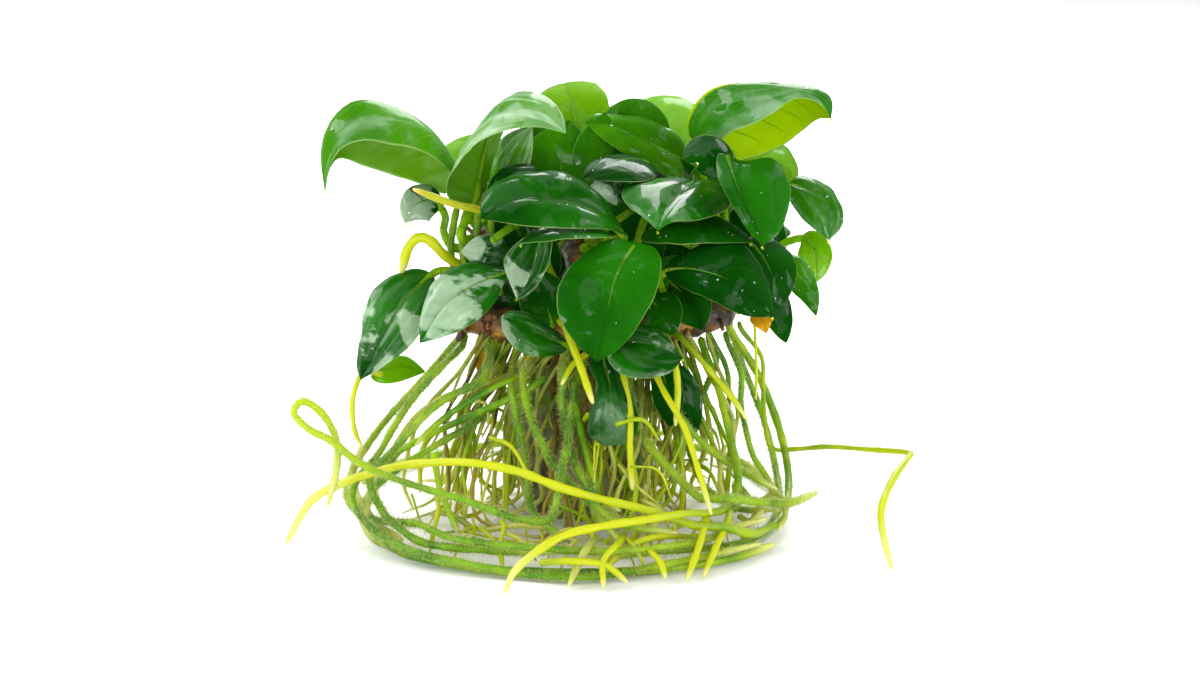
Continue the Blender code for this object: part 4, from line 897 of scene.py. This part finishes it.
def blade_skin(skin, blade, look):
    """The blade: two faces that meet at a thin margin, with gentle waves between its veins."""
    shares = [0.5 - 0.5 * math.cos(math.pi * k / LEAF_ROWS) for k in range(LEAF_ROWS + 1)]
    reaches = [math.sin(math.pi / 2 * (2 * n / LEAF_COLUMNS - 1)) for n in range(LEAF_COLUMNS + 1)]
    grid = np.array([[blade.across(s, r) for r in reaches] for s in shares])
    facing = np.cross(np.gradient(grid, axis=1), np.gradient(grid, axis=0))
    facing /= np.maximum(np.linalg.norm(facing, axis=2, keepdims=True), 1e-9)

    def middle(k, n):
        """A point of the blade between its two faces."""
        place = Vector(grid[k][n])
        sway = noise.noise(place * 0.09) * 0.9 + noise.noise(place * 0.22) * 0.35
        hold = math.sin(math.pi * shares[k]) * min(abs(reaches[n]) * 1.6, 1.0)
        edge = noise.noise(place * 0.33 + Vector((7, 1, 4))) * 0.5 * abs(reaches[n]) ** 4
        return place + Vector(facing[k][n]) * ((sway + edge) * hold * look.wave / MM)

    def on_face(k, n, sign):
        """A point of the upper or lower face, which both come down to the middle at a margin."""
        if n in (0, LEAF_COLUMNS):
            return middle(k, n)
        thick = look.thickness / MM / 2 * (1 - 0.7 * reaches[n] ** 4) * (1 - 0.4 * shares[k])
        groove = 0.16 * math.exp(-(reaches[n] / 0.05) ** 2) if sign > 0 else 0.0
        return middle(k, n) + Vector(facing[k][n]) * (sign * thick - groove)

    top, below = [], []
    for k in range(1, LEAF_ROWS):
        for rows, sign in ((top, 1), (below, -1)):
            rows.append([skin.corner(on_face(k, n, sign), shares[k], reach, float(sign > 0))
                         for n, reach in enumerate(reaches)])
    for rows, upper in ((top, True), (below, False)):
        for row, after in zip(rows, rows[1:]):
            for n in range(LEAF_COLUMNS):
                rest = (row[n + 1], after[n + 1], after[n])
                skin.faces.append((row[n], *(rest if upper else rest[::-1])))
    for k in (0, -1):
        for rows, sign in ((top, 1), (below, -1)):
            end = skin.corner(Vector(grid[k][0]), float(k != 0), 0.0, float(sign > 0))
            for n in range(LEAF_COLUMNS):
                pair = (rows[k][n], rows[k][n + 1])
                skin.faces.append((end, *(pair[::-1] if (sign > 0) == (k == 0) else pair)))


def add_leaf(leaf, line, look, materials, stalk_radius):
    """One grown piece: stalk, blade and the rib that carries on below the blade."""
    skin = Skin(leaf.state)
    blade = blade_of(leaf)
    blade_skin(skin, blade, look)
    path = smooth_path(line, STALK_SPACING)
    foot = len(path)
    rib = [path[-1]]
    for k in range(1, RIB_REACH + 1):
        point, up, _ = blade.frame(k / RIB_STEPS)
        rib.append(point - up * RIB_DEPTH)
    path = path + smooth_path(rib, STALK_SPACING * 2)[1:]
    radii, marks = [], []
    for k in range(len(path)):
        after = max(k - foot, 0) / max(len(path) - foot, 1)
        swell = 1 + FOOT_SWELL * max(1 - k / FOOT_STEPS, 0.0) if k < foot else 1.0
        radii.append(stalk_radius * swell * (1 - RIB_TAPER * after ** 0.6))
        marks.append(1.0 - 0.75 * min(after * 4, 1.0))
    skin.cord(path, radii, STALK_SIDES, marks, topside=0.0)
    piece = skin.made(leaf.name + "_look", materials[leaf.tone])
    welded = bmesh.new()
    welded.from_mesh(piece.data)
    bmesh.ops.remove_doubles(welded, verts=welded.verts, dist=1e-7)
    welded.to_mesh(piece.data)
    welded.free()
    return piece


def stems_tree():
    """A search tree over the creeping stem and its branches, in millimetres."""
    places, faces = [], []
    for name in STEMS:
        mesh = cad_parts[name].data
        first = len(places)
        places += [v.co / MM for v in mesh.vertices]
        faces += [tuple(first + k for k in p.vertices) for p in mesh.polygons]
    return BVHTree.FromPolygons(places, faces)


def dress(piece, slot, *nodes):
    """The calls that every piece of the plant needs."""
    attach(piece, BODY)
    if nodes:
        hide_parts(*nodes)


# Settings

def as_length(name, description, millimetres):
    """A setting with a length."""
    return FloatProperty(name=name, description=description, default=millimetres * MM, unit="LENGTH")


def as_share(name, description, default):
    """A setting from 0 to 1."""
    return FloatProperty(name=name, description=description, default=default, subtype="FACTOR")


def as_power(name, description, default):
    """A light's power."""
    return FloatProperty(name=name, description=description, default=default, unit="POWER")


def as_colour(name, description, default):
    """A setting with a colour."""
    return FloatVectorProperty(name=name, description=description, default=default, subtype="COLOR")


class LeafSettings(bpy.types.PropertyGroup):
    thickness: as_length("Thickness", "Thickness at the midrib", 0.55)
    wave: as_length("Wave", "Height of the waves in a blade", 0.8)
    stalk: as_length("Stalk radius", "Radius of a large leaf's stalk", 1.0)
    dry_gloss: as_share("Dry gloss", "Gloss of a leaf where it isn't wet", 0.03)
    film: as_share("Water film", "Gloss of the film of water on a leaf", 0.5)
    # Strength of the painted reflection: the lights' pale reflection painted into the colour of the wettest
    # leaves
    painted_reflection: as_share("Veil", "Strength of the pale bloom on the wettest leaves", 0.9)
    vein_count: FloatProperty(name="Veins", description="Side veins along half a leaf", default=8.0)
    relief: as_share("Relief", "Strength of the veins in relief", 0.8)
    dark: as_colour("Dark leaves", "Fresh colour of the dark leaves", (0.013, 0.165, 0.001))
    mid: as_colour("Green leaves", "Fresh colour of the middling leaves", (0.065, 0.26, 0.001))
    bright: as_colour("Bright leaves", "Fresh colour of the young leaves", (0.19, 0.36, 0.001))
    pale: as_colour("Pale leaves", "Fresh colour of the leaves lit from behind", (0.24, 0.46, 0.05))
    dying: as_colour("Dying leaves", "Colour of the dying leaves", (0.75, 0.42, 0.01))


class RootSettings(bpy.types.PropertyGroup):
    hair_length: as_length("Hair length", "Length of the root hairs", 1.1)
    hair_radius: as_length("Hair radius", "Radius at a hair's foot", 0.08)
    hair_density: FloatProperty(name="Hairs", description="Hairs on a square metre of root", default=4.5e6)
    pale_tip: as_share("Pale tip", "How much a young root's tip pales", 0.75)
    lumps: as_share("Lumps", "How uneven a root's thickness is", 0.12)
    tip: as_colour("Tips", "Colour of a young root's tip", (0.86, 0.80, 0.32))


class CoreSettings(bpy.types.PropertyGroup):
    scar_count: FloatProperty(name="Scars", description="Leaf scars along a stem", default=9.0)
    bark: as_colour("Bark", "Light colour of the creeping stem's bark", (0.22, 0.085, 0.006))
    stone: as_colour("Stone", "Light colour of the stone", (0.33, 0.31, 0.14))


class StageSettings(bpy.types.PropertyGroup):
    floor: as_colour("Floor", "Colour of the floor", (0.88, 0.88, 0.88))
    key: as_power("Left light", "Power of the soft light at the left", 5.0)
    back: as_power("Back light", "Power of the soft light behind", 7.0)
    fill: as_power("Right light", "Power of the soft light at the right", 1.0)
    front: as_power("Front light", "Power of the low light in front", 1.6)
    low: as_power("Low lights", "Power of each light low at the sides", 1.8)
    sky: FloatProperty(name="Surroundings", description="Strength of the white surroundings", default=0.9)


# Operators

class ANUBIAS_OT_core(bpy.types.Operator):
    """Makes the creeping stem with its branches, and the stone below it"""
    bl_idname = "anubias.core"
    bl_label = "Stem and stone"

    def execute(self, context):
        look = context.scene.anubias_core
        bark = bark_material(look)
        for node in STEMS:
            line, radius = root_line(node)
            path = smooth_path(line, STEM_SPACING)
            radii = []
            for k, place in enumerate(path):
                end = min(k, len(path) - 1 - k)
                close = min(1.0, 0.62 + 0.38 * math.sqrt(min(end / 4, 1.0)))
                scar = 0.07 * math.sin(k * 1.15) + 0.10 * noise.noise(place * 0.3)
                radii.append(radius * close * (1 + scar))
            skin = Skin()
            skin.cord(path, radii, STEM_SIDES)
            dress(skin.made(node + "_look", bark), "rhizome", node)
        dress(add_stone(stone_material(look)), "stone", "stone")
        dress(add_stubs(bark), "rhizome")
        return {"FINISHED"}


def add_stone(material):
    """A water-worn stone: an uneven ball, pressed to its size and cut flat underneath."""
    bm = bmesh.new()
    bmesh.ops.create_icosphere(bm, subdivisions=5, radius=1.0)
    for vert in bm.verts:
        unit = vert.co.copy()
        place = Vector((unit.x * STONE_WIDTH, unit.y * STONE_DEPTH, unit.z * STONE_HEIGHT * 1.24)) / 2
        place += unit * STONE_ROUGHNESS * noise.noise(place * STONE_NOISE_SCALE)
        place += unit * 0.45 * noise.noise(place * 0.4)
        place.z = min(place.z + STONE_HEIGHT * 0.38, STONE_HEIGHT - 0.6 * unit.x * unit.x)
        vert.co = place * MM
    cut = bmesh.ops.bisect_plane(bm, geom=bm.verts[:] + bm.edges[:] + bm.faces[:],
                                 plane_co=(0, 0, 0), plane_no=(0, 0, 1), clear_inner=True)
    bmesh.ops.contextual_create(bm, geom=[e for e in cut["geom_cut"] if isinstance(e, bmesh.types.BMEdge)])
    bmesh.ops.recalc_face_normals(bm, faces=bm.faces)
    return add_object("stone_look", mesh_of(bm, "stone_look"), material)


def add_stubs(material):
    """The broken ends of old roots and leaf stalks, all over the creeping stem."""
    chance = random.Random(STUB_SEED)
    stubs = Skin()
    for _ in range(STUB_COUNT):
        line, radius = root_line(chance.choice(STEMS + STEMS[:1] * 3))
        k = chance.randrange(len(line) - 1)
        centre = line[k].lerp(line[k + 1], chance.random())
        along = (line[k + 1] - line[k]).normalized()
        out = Vector([chance.uniform(-1, 1) for _ in range(3)])
        out = (out - along * out.dot(along)).normalized()
        length = chance.uniform(1.5, 5)
        foot = centre + out * radius * 0.85
        bend = along * chance.uniform(-1, 1) + Vector((0, 0, chance.uniform(-2, 0.5)))
        path = [foot, foot + out * length * 0.5 + bend * 0.3, foot + out * length + bend]
        stubs.cord(path, [chance.uniform(0.5, 1.2) * s for s in (1.2, 1.0, 0.6)], THIN_SIDES)
    return stubs.made("stem_stubs", material)


class ANUBIAS_OT_leaves(bpy.types.Operator):
    """Makes every leaf, large and small"""
    bl_idname = "anubias.leaves"
    bl_label = "Leaves"

    def execute(self, context):
        look = context.scene.anubias_leaves
        materials = {tone: leaf_material(tone, look) for tone in LEAF_COLOURS}
        for leaf in LEAVES + SHEETS:
            piece = add_leaf(leaf, stalk_line(leaf), look, materials, look.stalk / MM)
            dress(piece, "leaf_" + leaf.tone, leaf.name)
        stems = stems_tree()
        for leaf in SMALL_LEAVES:
            base = Vector(leaf.base)
            foot = stems.find_nearest(base)[0]
            lift = Vector((0, 0, (base - foot).length * 0.25))
            line = [foot, foot.lerp(base, 0.5) + lift, base]
            piece = add_leaf(leaf, line, look, materials, look.stalk / MM * SMALL_STALK_SHARE)
            dress(piece, "leaf_bright" if leaf.tone == "dying" else "leaf_" + leaf.tone)
        return {"FINISHED"}


def lumpy(path, radius, lumps, taper):
    """A root's radii along its path: uneven, and drawn out to a blunt tip."""
    radii = []
    for k, place in enumerate(path):
        left = (len(path) - 1 - k) / taper
        close = min(1.0, 0.45 + 0.55 * math.sqrt(min(left, 1.0)))
        radii.append(radius * close * (1 + lumps * noise.noise(place * 0.35) * 2))
    return radii


def youth(path, shares):
    """How young a root's skin is along its path: 0 up to the first share and 1 past the second."""
    first, second = shares
    return [min(max((k / (len(path) - 1) - first) / (second - first), 0.0), 1.0) for k in range(len(path))]


class ANUBIAS_OT_roots(bpy.types.Operator):
    """Makes the main roots, the side roots and the shoots"""
    bl_idname = "anubias.roots"
    bl_label = "Roots"

    def execute(self, context):
        look = context.scene.anubias_roots
        skins = {tone: root_material(tone, look) for tone in ROOT_COLOURS}
        for node in GREEN_ROOTS + YELLOW_ROOTS:
            line, radius = root_line(node)
            path = smooth_path(line, ROOT_SPACING)
            tone = "yellow" if node in YELLOW_ROOTS else "green"
            young = youth(path, YOUTH.get(node, USUAL_YOUTH))
            radii = lumpy(path, radius, look.lumps, MAIN_TAPER_STEPS)
            if node == "root_right_reaching":
                radii = [size * (1 + REACHING_SWELL * share) for size, share in zip(radii, young)]
            skin = Skin()
            skin.cord(path, radii, ROOT_SIDES, young)
            dress(skin.made(node + "_look", skins[tone]), "root_" + tone, node)
        for cord in SIDE_ROOTS + SHOOTS:
            path = smooth_path([Vector(p) for p in cord.points], ROOT_SPACING)
            young = youth(path, YELLOW_CORD_YOUTH if cord.tone == "yellow" else USUAL_YOUTH)
            radii = lumpy(path, cord.radius, look.lumps, SIDE_TAPER_STEPS)
            skin = Skin()
            skin.cord(path, radii, ROOT_SIDES, young)
            slot = "root_yellow" if cord.tone in ("yellow", "shoot") else "root_green"
            dress(skin.made(cord.name, skins[cord.tone]), slot)
        return {"FINISHED"}


def thin_lines(chance):
    """Thin roots: bundles hanging from the stem, strands laid round the ring, and short ones between."""
    crown = 46
    middle_x = 4

    def near(value, spread):
        return value + chance.uniform(-spread, spread)

    def ringed(angle, reach, height):
        return Vector((math.cos(angle) * reach, math.sin(angle) * reach * 0.88 - 3, height))

    for bundle in range(BUNDLES):
        angle = math.tau * (bundle + chance.uniform(-0.3, 0.3)) / BUNDLES
        foot = ringed(angle, chance.uniform(24, 42), 4)
        for _ in range(BUNDLE_STRANDS):
            down = Vector((near(foot.x, 6), near(foot.y, 6), chance.uniform(1.5, 9)))
            start = Vector((near(max(min(foot.x * 0.6 + middle_x, 32), -26), 6), near(0, 3), crown))
            points = [start]
            for fall in (0.25, 0.5, 0.75):
                out = start.lerp(down, fall ** 1.2)
                push = max(math.hypot(out.x - middle_x, out.y), 1)
                bulge = math.sin(math.pi * fall)
                out.x += (out.x - middle_x) / push * 4 * bulge
                out.y += out.y / push * 8 * bulge
                points.append(Vector((near(out.x, 2), near(out.y, 2), crown + (down.z - crown) * fall)))
            end = Vector((near(down.x, 9), near(down.y, 9), chance.uniform(1.2, 4)))
            yield points + [down, end], ("green", "yellow", "olive", "pale", "brown"), (0.4, 0.9)
    for _ in range(STONE_STRANDS):
        angle, points = chance.uniform(0, math.tau), []
        for height, reach in ((44, 0.4), (39, 0.85), (28, 1.12), (16, 1.18), (6, 1.15), (2, 1.5)):
            angle += chance.uniform(-0.4, 0.4)
            points.append(Vector((math.cos(angle) * STONE_WIDTH / 2 * reach,
                                  math.sin(angle) * STONE_DEPTH / 2 * reach, near(height, 1))))
        points[-1].z = 1.2
        yield points, ("green", "green", "yellow", "pale", "olive"), (0.4, 1.0)
    for _ in range(RING_STRANDS):
        angle, sweep = chance.uniform(0, math.tau), chance.uniform(0.5, 1.3) * chance.choice((-1, 1))
        reach = chance.uniform(38, 52)
        points = [ringed(angle + sweep * k / 4, near(reach, 3), chance.uniform(1.5, 8)) for k in range(5)]
        yield points, ("green", "yellow", "pale"), (0.3, 0.9)
    for _ in range(SHORT_STRANDS):
        angle = chance.uniform(0, math.tau)
        start = ringed(angle, chance.uniform(14, 40), chance.uniform(8, 32))
        end = start + Vector((near(0, 12), near(0, 12), 0))
        end.z = max(start.z - chance.uniform(4, 20), 1.5)
        middle = (start + end) / 2 + Vector((near(0, 3), near(0, 3), chance.uniform(0, 4)))
        yield [start, middle, end], ("yellow", "yellow", "green", "pale"), (-0.2, 0.6)
    for _ in range(TIP_STRANDS):
        start = ringed(chance.uniform(3.8, 5.7), chance.uniform(36, 54), chance.uniform(4, 9))
        end = start + Vector((near(0, 7), chance.uniform(-8, 2), 0))
        end.z = 1.2
        middle = start.lerp(end, 0.6) + Vector((0, -1, 2))
        yield [start, middle, end], ("yellow", "yellow", "pale"), (-0.5, 0.2)


class ANUBIAS_OT_thin_roots(bpy.types.Operator):
    """Makes the many thin roots that hang round the stone"""
    bl_idname = "anubias.thin_roots"
    bl_label = "Thin roots"

    def execute(self, context):
        chance = random.Random(THIN_ROOT_SEED)
        skins = {tone: Skin() for tone in ("green", "olive", "pale", "brown", "yellow")}
        for points, tones, shares in thin_lines(chance):
            path = smooth_path(points, THIN_SPACING)
            radii = lumpy(path, chance.choice(THIN_RADII), THIN_LUMPS, THIN_TAPER_STEPS)
            skins[chance.choice(tones)].cord(path, radii, THIN_SIDES, youth(path, shares))
        for tone, skin in skins.items():
            piece = skin.made("thin_roots_" + tone, root_material(tone, context.scene.anubias_roots))
            dress(piece, "root_green")
        return {"FINISHED"}


def hair_tree(material):
    """Geometry nodes that stand small hairs all over a surface."""
    tree = bpy.data.node_groups.new("root_hairs", "GeometryNodeTree")
    for name, kind in (("Geometry", "Geometry"), ("Length", "Float"), ("Radius", "Float"),
                       ("Density", "Float"), ("Seed", "Int")):
        tree.interface.new_socket(name, in_out="INPUT", socket_type="NodeSocket" + kind)
    tree.interface.new_socket("Geometry", in_out="OUTPUT", socket_type="NodeSocketGeometry")
    nodes = Nodes(tree)
    surface = nodes.node("NodeGroupInput", {}, {}, "Geometry")
    long, radius, density, seed = (surface.beside(name) for name in ("Length", "Radius", "Density", "Seed"))
    spots = nodes.node("GeometryNodeDistributePointsOnFaces", {}, {
        "Mesh": surface, "Density": density, "Seed": seed}, "Points")
    hair = nodes.node("GeometryNodeMeshCone", {"fill_type": "NONE"}, {
        "Vertices": HAIR_SIDES, "Radius Bottom": radius, "Depth": long}, "Mesh")
    lean = nodes.node("FunctionNodeRandomValue", {"data_type": "FLOAT_VECTOR"}, {
        0: tuple(-angle for angle in HAIR_LEAN), 1: HAIR_LEAN, "Seed": seed})
    turn = nodes.node("FunctionNodeRotateRotation", {"rotation_space": "LOCAL"}, {
        "Rotation": spots.beside("Rotation"), "Rotate By": lean})
    size = nodes.node("FunctionNodeRandomValue", {}, {
        2: HAIR_SHORTEST, 3: HAIR_LONGEST, "Seed": seed}, 1)
    stand = nodes.node("GeometryNodeInstanceOnPoints", {}, {
        "Points": spots, "Instance": hair, "Rotation": turn, "Scale": size})
    whole = nodes.node("GeometryNodeRealizeInstances", {}, {"Geometry": stand})
    finished = nodes.node("GeometryNodeSetMaterial", {}, {"Geometry": whole, "Material": material})
    end = tree.nodes.new("NodeGroupOutput")
    tree.links.new(finished.socket, end.inputs["Geometry"])
    return tree


def grown_on(names, piece_name, tree, values):
    """A tree's result over copies of the named pieces, as one plain mesh."""
    joined = bmesh.new()
    for name in names:
        joined.from_mesh(bpy.data.objects[name].data)
    obj = bpy.data.objects.new(piece_name, mesh_of(joined, piece_name))
    bpy.context.scene.collection.objects.link(obj)
    modifier = obj.modifiers.new("grown", "NODES")
    modifier.node_group = tree
    for item in tree.interface.items_tree:
        if item.in_out == "INPUT" and item.name in values:
            modifier[item.identifier] = values[item.name]
    graph = bpy.context.evaluated_depsgraph_get()
    grown = bpy.data.meshes.new_from_object(obj.evaluated_get(graph))
    obj.modifiers.remove(modifier)
    obj.data = grown
    return obj


class ANUBIAS_OT_root_hairs(bpy.types.Operator):
    """Grows the fine hairs on the older roots"""
    bl_idname = "anubias.root_hairs"
    bl_label = "Root hairs"

    def execute(self, context):
        look = context.scene.anubias_roots
        tree = hair_tree(hair_material())
        half = len(GREEN_ROOTS) // 2
        for number, roots in enumerate((GREEN_ROOTS[:half], GREEN_ROOTS[half:])):
            values = {"Length": look.hair_length, "Radius": look.hair_radius,
                      "Density": look.hair_density, "Seed": number}
            names = [root + "_look" for root in roots]
            dress(grown_on(names, f"root_hairs_{number + 1}", tree, values), "root_green")
        return {"FINISHED"}


class ANUBIAS_OT_drops(bpy.types.Operator):
    """Puts drops of water on the leaves and yellow ones at their tips"""
    bl_idname = "anubias.drops"
    bl_label = "Drops"

    def execute(self, context):
        chance = random.Random(DROP_SEED)
        clear, yellow = bmesh.new(), bmesh.new()
        for leaf in LEAVES + SHEETS:
            blade = blade_of(leaf)
            for _ in range(DROPS_ON_LEAF):
                share, reach = chance.uniform(0.15, 0.9), chance.uniform(-0.85, 0.85)
                if leaf.tone in ("bright", "pale"):
                    continue
                a = blade.across(share, reach + 0.02) - blade.across(share, reach - 0.02)
                b = blade.across(share + 0.01, reach) - blade.across(share - 0.01, reach)
                facing = a.cross(b).normalized()
                add_drop(clear, blade.across(share, reach) + facing * DROP_LIFT, facing,
                         chance.choice(DROP_RADII), DROP_HEIGHT)
            if chance.random() < TIP_DROP_SHARE and leaf.tone != "pale":
                add_drop(yellow, blade.points[-1] - Vector((0, 0, 0.5)), Vector((0, 0, 1)),
                         TIP_DROP_RADIUS, TIP_DROP_HEIGHT)
        for bm, name, colour in ((clear, "water_drops", CLEAR_WATER), (yellow, "tip_drops", YELLOW_WATER)):
            dress(add_object(name, mesh_of(bm, name), water_material(name, colour)), "leaf_bright")
        return {"FINISHED"}


def add_drop(bm, place, facing, radius, height):
    """A small drop: a ball pressed along the way that it faces."""
    made = bmesh.ops.create_uvsphere(bm, u_segments=8, v_segments=5, radius=1.0)
    turn = facing.to_track_quat("Z", "X")
    for vert in made["verts"]:
        local = Vector((vert.co.x, vert.co.y, vert.co.z * height)) * radius
        vert.co = (turn @ local + place) * MM


class ANUBIAS_OT_stage(bpy.types.Operator):
    """Sets the floor, the soft lights and the camera"""
    bl_idname = "anubias.stage"
    bl_label = "Stage"

    def execute(self, context):
        scene = context.scene
        look = scene.anubias_stage
        mesh = bpy.data.meshes.new("floor")
        corners = [(x * FLOOR_REACH, y * FLOOR_REACH, 0) for x, y in ((-1, -1), (1, -1), (1, 1), (-1, 1))]
        mesh.from_pydata(corners, [], [(0, 1, 2, 3)])
        floor = Paint("floor").finish({"Base Color": look.floor, "Roughness": 0.9})
        add_object("floor", mesh, floor)

        scene.world = bpy.data.worlds.new("surroundings")
        scene.world.use_nodes = True
        sky = scene.world.node_tree.nodes["Background"]
        sky.inputs["Color"].default_value = (1, 1, 1, 1)
        sky.inputs["Strength"].default_value = look.sky

        for name, place, width, power in (
                ("left_light", (-0.60, 0.10, 0.60), 0.50, look.key),
                ("back_light", (0.15, 0.55, 0.60), 0.50, look.back),
                ("right_light", (0.60, -0.30, 0.40), 0.35, look.fill),
                ("front_light", (0.05, -0.80, 0.16), 0.45, look.front),
                ("low_left_light", (-0.50, -0.50, 0.05), 0.25, look.low),
                ("low_right_light", (0.50, -0.50, 0.05), 0.25, look.low)):
            data = bpy.data.lights.new(name, "AREA")
            data.size = width
            data.energy = power
            aim(scene, name, data, Vector(place), Vector(place) - CAMERA_TARGET)

        data = bpy.data.cameras.new("camera")
        data.lens = CAMERA_LENS
        data.sensor_width = 36
        data.clip_start = 0.01
        away = Vector((0, -math.cos(CAMERA_ELEVATION), math.sin(CAMERA_ELEVATION)))
        scene.camera = aim(scene, "camera", data, CAMERA_TARGET + away * CAMERA_DISTANCE, away)
        scene.view_settings.view_transform = "Standard"
        return {"FINISHED"}


def aim(scene, name, data, place, away):
    """A light or camera at a place, with its back turned away from what it faces."""
    made = bpy.data.objects.new(name, data)
    made.location = place
    made.rotation_euler = away.to_track_quat("Z", "Y").to_euler()
    scene.collection.objects.link(made)
    return made


class ANUBIAS_PT_panel(bpy.types.Panel):
    """Lists the settings and the steps that build the plant"""
    bl_idname = "ANUBIAS_PT_panel"
    bl_label = "Anubias on stone"
    bl_space_type = "VIEW_3D"
    bl_region_type = "UI"
    bl_category = "Anubias"

    def draw(self, context):
        for group, kind in GROUPS.items():
            for name in kind.__annotations__:
                self.layout.prop(getattr(context.scene, group), name)
        for step in STEPS:
            self.layout.operator(step.bl_idname)


GROUPS = {"anubias_leaves": LeafSettings, "anubias_roots": RootSettings,
          "anubias_core": CoreSettings, "anubias_stage": StageSettings}
STEPS = (ANUBIAS_OT_core, ANUBIAS_OT_leaves, ANUBIAS_OT_roots, ANUBIAS_OT_thin_roots,
         ANUBIAS_OT_root_hairs, ANUBIAS_OT_drops, ANUBIAS_OT_stage)
CLASSES = (*GROUPS.values(), *STEPS, ANUBIAS_PT_panel)


def register():
    for made in CLASSES:
        bpy.utils.register_class(made)
    for name, group in GROUPS.items():
        setattr(bpy.types.Scene, name, PointerProperty(type=group))


def unregister():
    for name in GROUPS:
        delattr(bpy.types.Scene, name)
    for made in reversed(CLASSES):
        bpy.utils.unregister_class(made)


def main():
    register()
    bpy.ops.anubias.core()
    bpy.ops.anubias.leaves()
    bpy.ops.anubias.roots()
    bpy.ops.anubias.thin_roots()
    bpy.ops.anubias.root_hairs()
    bpy.ops.anubias.drops()
    bpy.ops.anubias.stage()


if __name__ == "__main__":
    main()
